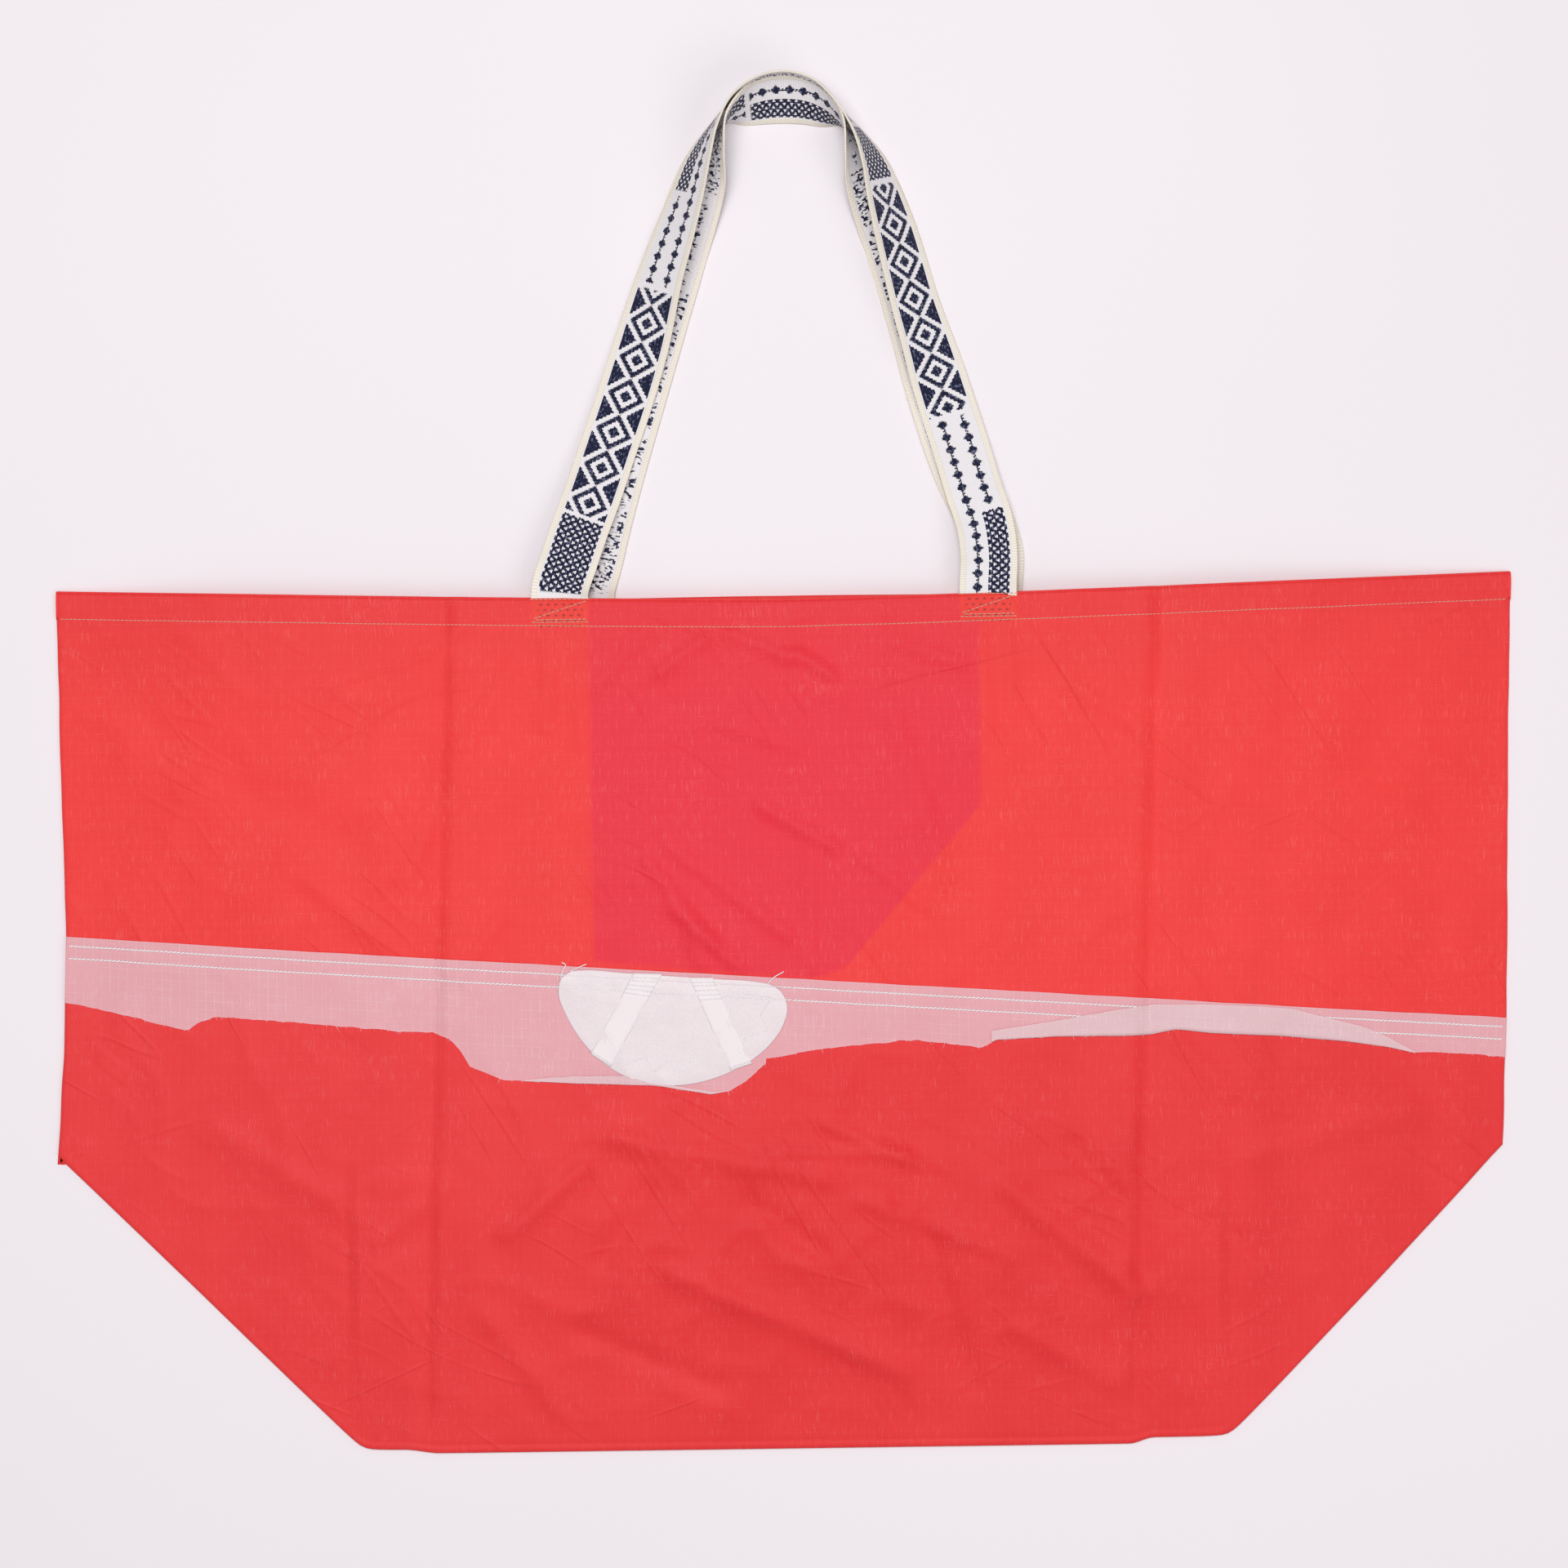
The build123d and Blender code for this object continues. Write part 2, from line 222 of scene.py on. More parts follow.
def front_height(x, y):
    """Height of the front panels' top face."""
    x, y = np.broadcast_arrays(np.asarray(x, float), np.asarray(y, float))
    inside = np.maximum(edge_distance(x, y), 0)
    height = EDGE_HEIGHT + (FRONT_HEIGHT - EDGE_HEIGHT) * smooth(inside, -0.01, 0.13)
    wrinkled = 1.0 * MM * soft_noise(x, y, 0.085, 3.1) + 0.3 * MM * soft_noise(x, y, 0.03, 7.7)
    handled = 0.5 + 0.8 * np.exp(-(((x - 0.02) / 0.17) ** 2) - ((y + 0.25) / 0.09) ** 2)
    for size, seed in ((0.06, 2.5), (0.035, 8.1)):
        ridges = (1 - np.abs(soft_noise(x + 0.4 * y, y - 0.3 * x, size, seed))) ** 6
        wrinkled = wrinkled + 26 * size * MM * handled * ridges
    for *ends, rise, width in WRINKLES:
        wrinkled = wrinkled + WRINKLE_STRENGTH * rise * MM * bell(line_distance(x, y, ends), width * MM)
    for *ends, rise, width in CREASE_LINES:
        rounded = np.hypot(line_distance(x, y, ends), CREASE_ROUNDING) - CREASE_ROUNDING
        wrinkled = wrinkled + rise * MM * np.exp(-rounded / (width * MM))
    height = height + wrinkled * smooth(inside, 0, 0.03)
    height = height - 0.35 * MM * bell(inside - 4.4 * MM, 1.2 * MM) * (np.abs(x) < BOTTOM_HALF)
    roll = np.clip(1 - inside / EDGE_ROLL, 0, 1)
    return ROLL_FOOT + (height - ROLL_FOOT) * np.sqrt(1 - roll**2)


def sewn_dip(x, y):
    """How far the seam and the stitch rows pull the cloth down."""
    below = seam_y(x) - y
    dip = 0.4 * MM * bell(below, 1.0 * MM)
    for row in ROW_DROPS:
        dip = dip + 0.28 * MM * bell(below - row, 1.1 * MM)
    dip = dip + 0.25 * MM * bell(rim_y(x) - HEM - y, 1.2 * MM)
    pucker = 0.10 * MM * soft_noise(x, below * 0.3, 0.007, 2.2) * bell(below - 7.5 * MM, 7 * MM)
    return dip + pucker


def on_front(x, y, lift=0.0):
    """Points on the front's top face."""
    return together(bowed(x, y), y, front_height(x, y) - sewn_dip(x, y) + lift)


def on_seam(x, drop, lift):
    """Points over the front, given by their drop below the seam."""
    return on_front(x, seam_y(x) - drop, lift)


def back_height(x, y):
    """Height of the back panel's top face, which lies on the floor."""
    return 0.55 * MM + 0.15 * MM * soft_noise(x, y, 0.06, 5.5)


def on_back(x, y):
    """Points on the back panel."""
    return together(bowed(x, y), y, back_height(x, y))


def on_back_fold(x, y):
    """Points on the strip of back folded up inside."""
    return together(bowed(x, y), y, back_height(x, y) + 0.5 * MM)


def on_fold(x, y):
    """The bottom fold and the gussets: on the floor below the back panel's edge, and over it above that."""
    step = smooth(y, CORNER - 14 * MM, CORNER + 8 * MM)
    height = 0.6 * MM + 1.2 * MM * step + 0.1 * MM * soft_noise(x, y, 0.05, 9.1)
    return together(bowed(x, y), y, height)


# ---- meshes
def add_piece(name, vertices, faces, flats, slot, *materials):
    """A smooth-shaded mesh object with its flat coordinates, in metres, as its UV map."""
    mesh = bpy.data.meshes.new(name)
    mesh.from_pydata([tuple(v) for v in vertices], [], faces)
    mesh.update()
    layer = mesh.uv_layers.new(name="flat")
    corners = np.zeros(len(mesh.loops), np.int32)
    mesh.loops.foreach_get("vertex_index", corners)
    layer.data.foreach_set("uv", np.asarray(flats, np.float32)[corners].ravel())
    mesh.polygons.foreach_set("use_smooth", np.ones(len(mesh.polygons), bool))
    piece = bpy.data.objects.new(name, mesh)
    bpy.context.scene.collection.objects.link(piece)
    for material in materials:
        mesh.materials.append(material)
    return piece


def add_grid(name, points, flats, slot, *materials, closed=False):
    """A sheet from rows of points. A closed one goes round, and its last row is filled with one face."""
    rows, columns = points.shape[:2]
    faces = []
    for j in range(rows - 1):
        for i in range(columns - 1 + closed):
            k = (i + 1) % columns
            faces.append((j * columns + i, j * columns + k, (j + 1) * columns + k, (j + 1) * columns + i))
    if closed:
        faces.append(tuple(range((rows - 1) * columns, rows * columns)))
    return add_piece(name, points.reshape(-1, 3), faces, flats.reshape(-1, 2), slot, *materials)


def thicken(piece, thickness, offset=-1.0, back_material=0):
    """Gives a sheet its thickness; the reverse and the edges take the material back_material."""
    shell = piece.modifiers.new("thickness", "SOLIDIFY")
    shell.thickness = thickness
    shell.offset = offset
    shell.material_offset = back_material
    shell.material_offset_rim = back_material
    shell.use_quality_normals = True


def stops(low, high, pitch, low_steps=(), high_steps=()):
    """Values from low to high about pitch apart, closer together at the ends where steps say so."""
    first = [low + step for step in low_steps]
    last = [high - step for step in reversed(high_steps)]
    start = first[-1] if first else low
    end = last[0] if last else high
    count = max(1, round((end - start) / pitch))
    return np.array(first[:-1] + list(np.linspace(start, end, count + 1)) + last[1:])


def half_columns(sign, limit, pitch=PITCH, edge_steps=(), middle_steps=()):
    """The x of a half sheet's columns, left to right, between the middle and a limit near one side."""
    if sign < 0:
        return stops(-limit, MIDDLE, pitch, edge_steps, middle_steps)
    return stops(MIDDLE, limit, pitch, middle_steps, edge_steps)


def rows_between(bottom, top, low_steps, high_steps):
    """The y of a sheet's rows at each column, between the bottom and the top of the columns."""
    count = max(1, round(float(np.max(top - bottom)) / PITCH))
    start = low_steps[-1] if low_steps else 0.0
    end = high_steps[-1] if high_steps else 0.0
    shares = np.linspace(0, 1, count + 1)
    middle = bottom + start + shares[:, None] * (top - bottom - start - end)
    first = [bottom + step for step in low_steps[:-1]]
    last = [top - step for step in reversed(high_steps[:-1])]
    return np.vstack(first + [middle] + last)


def across_crease(piece, side):
    """Bakes a piece's placement into its mesh; it is not bent over the storage crease."""
    crease = CREASES[side]
    reach = SIGNS[side] * CREASE_REACH
    crease - reach
    crease + reach
    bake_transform(piece)


# ---- materials
def paint(red, green, blue):
    """A colour given as 0 to 255 display values, as linear light."""
    def linear(value):
        value = value / 255
        return value / 12.92 if value <= 0.04045 else ((value + 0.055) / 1.055) ** 2.4
    return (linear(red), linear(green), linear(blue), 1.0)


def node_math(operation):
    """A method that calculates with a value by a math node."""
    return lambda value, *others: value.shader.math(operation, value, *others)


class Value:
    """A value that varies over a material: an output of one of its nodes, to calculate with."""

    __add__ = node_math("ADD")
    __sub__ = node_math("SUBTRACT")
    __mul__ = node_math("MULTIPLY")
    __truediv__ = node_math("DIVIDE")
    __mod__ = node_math("FLOORED_MODULO")
    __or__ = node_math("MAXIMUM")
    __abs__ = node_math("ABSOLUTE")
    floor = node_math("FLOOR")
    sine = node_math("SINE")
    snap = node_math("SNAP")
    scaled = node_math("MULTIPLY_ADD")  # times the first, plus the second

    def __init__(self, shader, socket):
        self.shader = shader
        self.socket = socket

    def __rsub__(self, other):
        return self.shader.math("SUBTRACT", other, self)

    def ramp(self, low, high):
        """0 at low and 1 at high, smoothly; low may be the larger."""
        inputs = {"Value": self, "From Min": low, "From Max": high}
        return self.shader.value("ShaderNodeMapRange", inputs, interpolation_type="SMOOTHSTEP")

    def lines(self, pitch, width):
        """1 on a line at every pitch, falling to 0 at its sides."""
        return self.shader.math("PINGPONG", self, pitch / 2).ramp(width, width * 0.25)

    def waves(self, pitch):
        """A wave from 0 to 1 and back at every pitch."""
        return (self * (math.tau / pitch)).sine().scaled(0.5, 0.5)

    def inside(self, low, high, soft=0.2 * MM):
        """1 between low and high."""
        return self.ramp(low - soft, low + soft) * self.ramp(high + soft, high - soft)

    def in_cell(self, pitch):
        """Distance from the middle of the repeat that the value is in."""
        return self % pitch - pitch / 2


def largest(values):
    """The largest of several values."""
    return reduce(Value.__or__, values)


class Shader:
    """One node material. across and along are the flat coordinates, in metres."""

    def __init__(self, name):
        self.material = bpy.data.materials.new(name)
        self.material.use_nodes = True
        self.tree = self.material.node_tree
        self.tree.nodes.clear()
        self.surface = self.tree.nodes.new("ShaderNodeBsdfPrincipled")
        output = self.tree.nodes.new("ShaderNodeOutputMaterial")
        self.tree.links.new(self.surface.outputs[0], output.inputs[0])
        flat = self.value("ShaderNodeUVMap", {}, uv_map="flat")
        self.across = self.value("ShaderNodeSeparateXYZ", {0: flat})
        self.along = Value(self, self.across.socket.node.outputs[1])

    def put(self, node, inputs):
        """Links or sets inputs of a node, given by number or name."""
        for key, value in inputs.items():
            if isinstance(value, Value):
                self.tree.links.new(value.socket, node.inputs[key])
            else:
                node.inputs[key].default_value = value

    def value(self, kind, inputs, output=0, **settings):
        """An output of a new node."""
        node = self.tree.nodes.new(kind)
        for name, setting in settings.items():
            setattr(node, name, setting)
        self.put(node, inputs)
        return Value(self, node.outputs[output])

    def math(self, operation, *values):
        """The result of a math node."""
        return self.value("ShaderNodeMath", dict(enumerate(values)), operation=operation)

    def mix(self, factor, *colours):
        """The first colour at 0 and the second at 1; each is a value or three display values."""
        first, second = (each if isinstance(each, Value) else paint(*each) for each in colours)
        return self.value("ShaderNodeMix", {0: factor, 6: first, 7: second}, 2, data_type="RGBA")

    def noise(self, across_scale, along_scale, detail, offset, across=None, along=None):
        """Noise with so many features a metre each way."""
        x = (across or self.across) * across_scale
        y = (along or self.along) * along_scale
        place = self.value("ShaderNodeCombineXYZ", {0: x, 1: y, 2: offset})
        return self.value("ShaderNodeTexNoise", {"Vector": place, "Scale": 1.0, "Detail": detail})

    def finish(self, colour, height, depth, roughness, alpha=1.0, sheen=0.0):
        """Connects colour, relief of the given depth in metres, roughness and alpha."""
        bump = self.value("ShaderNodeBump", {"Strength": 1.0, "Distance": depth, "Height": height})
        self.put(self.surface, {
            "Base Color": colour, "Normal": bump, "Roughness": roughness, "Alpha": alpha,
            "Sheen Weight": sheen, "Specular IOR Level": 0.25,
        })
        return self.material


RIPSTOP_PITCH = 4.8 * MM


def ripstop_parts(shader):
    """The woven structure shared by all ripstop: the raised grid, the slubs and the fine weave."""
    grid = shader.across.lines(RIPSTOP_PITCH, 0.42 * MM) | shader.along.lines(RIPSTOP_PITCH, 0.36 * MM)
    crowding = shader.noise(30, 30, 2.0, 12.0) * 0.24
    bend = shader.noise(110, 110, 1.0, 17.0).scaled(2.6 * MM, shader.across)
    fibres = shader.noise(2000, 120, 1.0, 3.0, bend) | shader.noise(200, 2000, 1.0, 5.0) * 0.92
    slubs = (fibres + crowding).ramp(0.71, 0.90)
    weave = shader.noise(2600, 2600, 1.0, 9.0)
    return grid, slubs, weave


def crumples(shader):
    """Thin sharp folds, here and there, in families that each run one way."""
    families = []
    for slope, scale, seed in ((0.55, 34, 21.0), (-0.35, 26, 25.0), (1.6, 22, 29.0)):
        slanted = shader.across.scaled(slope, shader.along)
        middle = abs(shader.noise(scale * 0.25, scale, 1.0, seed, along=slanted) - 0.5)
        here = shader.noise(11, 11, 1.0, seed + 2).ramp(0.52, 0.66)
        families.append(middle.ramp(0.035, 0.0) * here)
    return largest(families)


def red_ripstop(name, dark, colour, light, tint=None):
    """Red nylon ripstop. tint(shader, colour) may recolour areas where other layers show through, and add
    painted shade and painted light to some areas.
    """
    shader = Shader(name)
    grid, slubs, weave = ripstop_parts(shader)
    mottle = shader.noise(26, 26, 3.0, 1.0)
    bands = shader.noise(42, 1.5, 1.0, 14.0)
    shade = shader.mix((mottle * 0.6 + bands * 0.4).ramp(0.3, 0.7), dark, colour)
    if tint:
        shade = tint(shader, shade)
    shade = shader.mix(slubs * 0.19, shade, light)
    shade = shader.mix(grid * 0.024, shade, light)
    shade = shader.mix(weave * 0.12, shade, dark)
    relief = grid * 0.1 + slubs * 0.25 + weave * 0.35 + crumples(shader) * 3.0
    return shader.finish(shade, relief, 0.09 * MM, weave.scaled(0.2, 0.5), sheen=0.05)


# Corners of the pocket's foot and of its cut corner, left to right, in millimetres
POCKET_FOOT = ((-103, -104), (15, -115), (32, -109), (104, -24))


def pocket_area(shader):
    """1 where the inner pocket lies behind the front."""
    area = shader.across.inside(POCKET_LEFT, POCKET_RIGHT, 2.5 * MM)
    area = area * shader.along.ramp(RIM - 4 * MM, RIM - 6 * MM)
    for (ax, ay), (bx, by) in zip(POCKET_FOOT, POCKET_FOOT[1:]):
        slope = (by - ay) / (bx - ax)
        line = shader.across.scaled(slope, ay * MM - slope * ax * MM)
        area = area * (shader.along - line).ramp(-2 * MM, 2 * MM)
    return area


DASH_PITCH = 4.0 * MM
DASH_ROWS = 2.9 * MM


def upper_tints(shader, shade):
    """The pocket, the hem and the sewn handle ends, as they show through the front, and a painted shade
    towards the rim.
    """
    shade = shader.mix(pocket_area(shader) * 0.85, shade, (230, 44, 67))
    hem = shader.along.ramp(RIM - HEM - 1.6 * MM, RIM - HEM - 0.8 * MM)
    shade = shader.mix(hem * 0.35, shade, (226, 52, 58))
    # Painted shade: the front is painted darker over the 75 mm below the rim.
    painted_shade_near_rim = shader.along.ramp(RIM - 75 * MM, RIM)
    shade = shader.mix(painted_shade_near_rim * 0.4, shade, (226, 50, 54))
    for x in FRONT_ENDS:
        from_middle = shader.across - x
        tape = from_middle.inside(-TAPE_WIDTH / 2, TAPE_WIDTH / 2)
        tape = tape * shader.along.ramp(RIM - HEM - 4.0 * MM, RIM - HEM - 3.6 * MM)
        row = ((shader.along + DASH_ROWS / 2) / DASH_ROWS).floor()
        stagger = row % 2.0 * (DASH_PITCH / 2)
        dash = (from_middle + stagger).lines(DASH_PITCH, 1.4 * MM) * shader.along.lines(DASH_ROWS, 0.9 * MM)
        dash = dash * from_middle.inside(-12 * MM, 12 * MM)
        shade = shader.mix(tape * 0.7, shade, (237, 62, 48))
        shade = shader.mix(tape * dash * 0.8, shade, (140, 40, 48))
    return shade


def lower_tints(shader, shade):
    """The pocket's foot shows through the lower panel; painted shade darkens its lower middle, over the
    folded-up bottom, and painted light brightens it towards the left.
    """
    shade = shader.mix(pocket_area(shader) * 0.6, shade, (234, 50, 68))
    # Painted shade: a darker patch on the lower middle, over the folded-up bottom.
    folded = shader.across.inside(-0.08, 0.16, 0.07) * shader.along.inside(-0.31, -0.18, 0.04) * 0.32
    shade = shader.mix(folded, shade, (222, 42, 46))
    # Painted light: the lower panel is painted lighter towards its left side.
    painted_light_to_left = shader.across.ramp(0.05, -HALF)
    return shader.mix(painted_light_to_left * 0.25, shade, (238, 70, 72))


def pale_ripstop(name, dark, light, cover):
    """Translucent white ripstop of the strip; cover is how much of what lies under it is hidden."""
    shader = Shader(name)
    grid, slubs, weave = ripstop_parts(shader)
    shade = shader.mix(shader.noise(40, 40, 2.0, 4.0), dark, light)
    patchy = shader.noise(60, 60, 2.0, 7.0).ramp(0.3, 0.7)
    shade = shader.mix(grid * patchy * 0.24, shade, (252, 222, 227))
    shade = shader.mix(slubs * 0.3, shade, (252, 224, 228))
    alpha = slubs.scaled(0.06, grid.scaled(0.05, cover))
    return shader.finish(shade, grid + weave * 0.4, 0.08 * MM, 0.55, alpha)


def patch_film():
    """Milky coated cloth of the reinforcement patch."""
    shader = Shader("patch_film")
    crumple = shader.noise(90, 90, 4.0, 2.0)
    fibres = shader.noise(700, 700, 2.0, 8.0)
    shade = shader.mix(crumple, (233, 218, 222), (242, 231, 234))
    shade = shader.mix(fibres * 0.3, shade, (250, 246, 247))
    return shader.finish(shade, crumple + fibres * 0.2, 0.25 * MM, 0.42, fibres.scaled(0.08, 0.88))


def ribbed_white():
    """Ribbed white tape on the patch: fine ribs across it."""
    shader = Shader("ribbed_white_tape")
    ribs = shader.along.waves(0.9 * MM)
    cords = shader.across.waves(2.1 * MM)
    shade = shader.mix(ribs, (237, 227, 229), (244, 236, 238))
    return shader.finish(shade, ribs + cords * 0.5, 0.025 * MM, 0.7)


def thread(name, dark, light):
    """Twisted sewing thread."""
    shader = Shader(name)
    twist = (shader.across + shader.along).waves(0.32 * MM)
    shade = shader.mix(twist, dark, light)
    return shader.finish(shade, twist, 0.04 * MM, 0.75, sheen=0.1)


SELVEDGE = 3.0 * MM
PICK = 0.8 * MM
BIG_REPEAT = 20 * MM
SMALL_REPEAT = 7 * MM
SMALL_ROW = 5.6 * MM  # from the middle of the tape to each row of small figures


class Webbing(Shader):
    """Handle tape. Its figures are stepped thread by thread, from coordinates of the threads."""

    def __init__(self, name):
        super().__init__(name)
        self.even = (self.across, self.along)
        column = (self.across / PICK).floor()
        stagger = column % 2.0 * (PICK / 2)
        self.across = column.scaled(PICK, PICK / 2)
        self.along = (self.along + stagger).snap(PICK) - stagger

    def checker(self):
        """Small light dots set like a chessboard on the figure colour."""
        size = 2.0 * MM
        waves = (self.across * (math.pi / size)).sine() * (self.along * (math.pi / size)).sine()
        return waves.ramp(-0.57, -0.5)

    def big_figures(self):
        """A chain of diamonds, each with a smaller one inside, and triangles between them at the sides."""
        distance = abs(self.along.in_cell(BIG_REPEAT)) + abs(self.across)
        rings = distance.inside(6.6 * MM, 10.0 * MM)
        return rings | distance.ramp(3.7 * MM, 3.3 * MM) | distance.ramp(13.2 * MM, 13.6 * MM)

    def small_figures(self, middle, shift):
        """A row of small diamonds with a dot between each two, along a line across the tape."""
        beside = self.across - middle
        along = self.along + shift
        diamond = (abs(along.in_cell(SMALL_REPEAT)) + abs(beside)).ramp(3.1 * MM, 2.7 * MM)
        halfway = along + SMALL_REPEAT / 2
        dot = (abs(halfway.in_cell(SMALL_REPEAT)) + abs(beside)).ramp(1.1 * MM, 0.8 * MM)
        return diamond | dot


def webbing(name, reverse=False):
    """Handle tape. Its reverse shows the same figures the other way about, broken up."""
    shader = Webbing(name)
    checker = shader.checker()
    outer_side = shader.across.ramp(-0.1 * MM, 0.1 * MM)
    inner_side = 1.0 - outer_side
    outer = shader.small_figures(SMALL_ROW, 0.0) * outer_side
    inner = shader.small_figures(-SMALL_ROW, SMALL_REPEAT / 2) * inner_side
    big = shader.big_figures()
    outer_checker = checker * outer_side
    inner_checker = checker * inner_side
    stretches = (  # figures, and where they start and end along the tape, in millimetres
        (checker, 0, 41), (big, 43, 168), (inner, 171, 273), (outer, 171, 219), (outer_checker, 222, 273),
        (outer, 276, 352), (inner_checker, 276, 352), (checker, 355, 385), (big, 388, 513),
        (inner, 516, 640), (outer, 516, 566), (outer_checker, 569, 640),
    )
    found = [each * shader.along.inside(low * MM, high * MM, 0.15 * MM) for each, low, high in stretches]
    figures = largest(found) * shader.across.inside(-11 * MM, 11 * MM)
    shader.across, shader.along = shader.even
    field = shader.across.inside(SELVEDGE - TAPE_WIDTH / 2, TAPE_WIDTH / 2 - SELVEDGE)
    ribs = shader.along.waves(0.8 * MM)
    picks = shader.noise(900, 500, 1.0, 6.0)
    ground = shader.mix(ribs, (232, 228, 231), (250, 247, 249))
    figure = shader.mix(picks.ramp(0.52, 0.72), (20, 24, 54), (112, 116, 144))
    if reverse:
        figures = figures * shader.noise(260, 620, 1.0, 2.0).ramp(0.46, 0.56)
    cloth = shader.mix(figures, ground, figure)
    selvedge = shader.mix(shader.along.waves(1.2 * MM), (236, 226, 210), (252, 246, 234))
    cloth = shader.mix(field, selvedge, cloth)
    relief = ribs + (1.0 - field) * 1.2 - figures * 0.4
    return shader.finish(cloth, relief, 0.16 * MM, 0.8, sheen=0.1)


front_cloth = red_ripstop("front_ripstop", (236, 56, 55), (241, 61, 59), (255, 158, 152), upper_tints)
lower_cloth = red_ripstop("lower_ripstop", (227, 48, 51), (233, 54, 56), (252, 146, 142), lower_tints)
back_cloth = red_ripstop("back_ripstop", (232, 52, 52), (238, 58, 57), (254, 146, 140))
pocket_cloth = red_ripstop("pocket_ripstop", (206, 34, 66), (220, 44, 76), (240, 100, 122))
strip_cloth = pale_ripstop("strip_ripstop", (241, 176, 184), (244, 188, 195), 0.80)
turned_cloth = pale_ripstop("turned_strip_ripstop", (233, 194, 199), (237, 204, 208), 0.86)
patch_cloth = patch_film()
white_tape = ribbed_white()
beige_thread = thread("beige_thread", (206, 140, 116), (238, 190, 166))
white_thread = thread("white_thread", (246, 240, 242), (255, 254, 255))
tape_face = webbing("handle_tape_face")
tape_reverse = webbing("handle_tape_reverse", reverse=True)


# ---- cloth panels
def add_cloth(name, x, low, high, place, slot, material, low_steps=(), high_steps=()):
    """A sheet between two lines low(x) and high(x), and its flat width, length and area."""
    y = rows_between(low(x), high(x), low_steps, high_steps)
    across = np.broadcast_to(x, y.shape)
    piece = add_grid(name, place(across, y), together(across, y), slot, material)
    thicken(piece, CLOTH)
    lengths = high(x) - low(x)
    return piece, (float(x[-1] - x[0]), float(np.max(lengths)), float(np.trapz(lengths, x)))


def add_half_panel(name, node, side, x, low, high, place, slot, material, held, rests_on, **steps):
    """Half of a panel that crosses the whole bag, from one side to the middle."""
    piece, cut = add_cloth(f"{name}_{side}", x, low, high, place, slot, material, **steps)
    across_crease(piece, side)
    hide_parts(f"{node}_{side}", f"{node}_center")


def under_strip(x):
    """The upper panel's lower edge, tucked under the seam strip."""
    return seam_y(x) - 1.0 * MM


def corner_y(x):
    """The y of the fold where the back turns up, just above the cut-off corners."""
    return np.full_like(x, CORNER + 1.0 * MM)


def fold_top(x):
    """The top of the bottom panel, folded up behind the front."""
    return np.full_like(x, FOLD_TOP)


def bottom_fold_low(x):
    """The bottom panel's foot, just inside the front's."""
    return bottom_y(x) + 0.6 * MM


def back_fold_high(x):
    """The strip of back folded up inside: as wide as the bag at its foot, narrower at its top."""
    slope = HALF - BOTTOM_HALF
    return np.minimum(FOLD_TOP, CORNER + (HALF - np.abs(x)) * (FOLD_TOP - CORNER) / slope + 0.5 * MM)


EDGE_STEPS = [step * MM for step in (0.0, 0.15, 0.5, 1.1, 1.8, 2.6, 3.6, 4.4, 5.2, 7)]
MIDDLE_STEPS = [step * MM for step in (0.0, 0.04, 0.2, 0.8)]
SEAM_STEPS = [step * MM for step in (0.0, 0.8, 1.8, 2.9, 4.2, 5.5, 7.5, 9.5, 10.8, 12.1, 14)]
HEM_STEPS = [step * MM for step in (0.0, 2, 5, 8.5, 11, 12.8, 14, 15.2, 17.5)]

for side, sign in SIGNS.items():
    x = half_columns(sign, HALF, PITCH, EDGE_STEPS, MIDDLE_STEPS)
    back = f"back_panel_{side}"
    add_half_panel(
        "front_upper_panel", "front_upper", side, x, under_strip, rim_y, on_front, "panel_cloth", front_cloth,
        "laid", ["inner_pocket_sheet", back], high_steps=HEM_STEPS,
    )
    add_half_panel(
        "front_lower_panel", "front_lower", side, x, bottom_y, seam_y, on_front, "lower_cloth", lower_cloth,
        "laid", [f"bottom_panel_{side}", back], low_steps=EDGE_STEPS, high_steps=SEAM_STEPS,
    )
    add_half_panel(
        "back_panel", "back_upper", side, x, corner_y, back_rim_y, on_back, "panel_cloth", back_cloth,
        "laid", [],
    )


def add_side_seam(side, sign):
    """Side seam: the two panels' edges turned round each other, open towards the bag."""
    y = stops(CORNER + 5 * MM, RIM, 4 * MM)
    turn = np.radians(np.linspace(90, -90, 7))
    leg = [-5.4 * MM]
    inward = np.concatenate([leg, 0.6 * MM * np.cos(turn) - 1.2 * MM, leg])
    levels = np.concatenate([[1.6 * MM], 1.15 * MM + 0.5 * MM * np.sin(turn), [0.9 * MM]])
    edge_x = bowed(np.full_like(y, sign * HALF), y)
    points = together(edge_x[:, None] + sign * inward, y[:, None], levels)
    if sign > 0:
        points = points[:, ::-1]
    flats = together(np.arange(len(inward)) * MM, points[:, :, 1])
    seam = add_grid(f"side_seam_{side}", points, flats, "panel_cloth", back_cloth)
    thicken(seam, CLOTH)
    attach(seam, f"{side}_wing")
    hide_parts(f"{side}_side_seam")


for side, sign in SIGNS.items():
    add_half_panel(
        "bottom_panel", "bottom", side, half_columns(sign, BOTTOM_HALF), bottom_fold_low, fold_top, on_fold,
        "panel_cloth", back_cloth, "folded", [f"back_fold_{side}"],
    )
    add_half_panel(
        "back_fold", "back_lower", side, half_columns(sign, HALF - 2 * MM), corner_y, back_fold_high,
        on_back_fold, "panel_cloth", back_cloth, "folded", [f"back_panel_{side}"],
    )

    # Corner gusset: a triangle folded in behind the cut-off corner
    x = np.sort(stops(BOTTOM_HALF + 0.5 * MM, HALF - 1.5 * MM, PITCH) * sign)
    gusset, cut = add_cloth(
        f"corner_gusset_{side}", x, bottom_fold_low, back_fold_high, on_fold, "panel_cloth", back_cloth,
    )
    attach(gusset, f"{side}_wing")
    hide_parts(f"{side}_gusset")

    add_side_seam(side, sign)


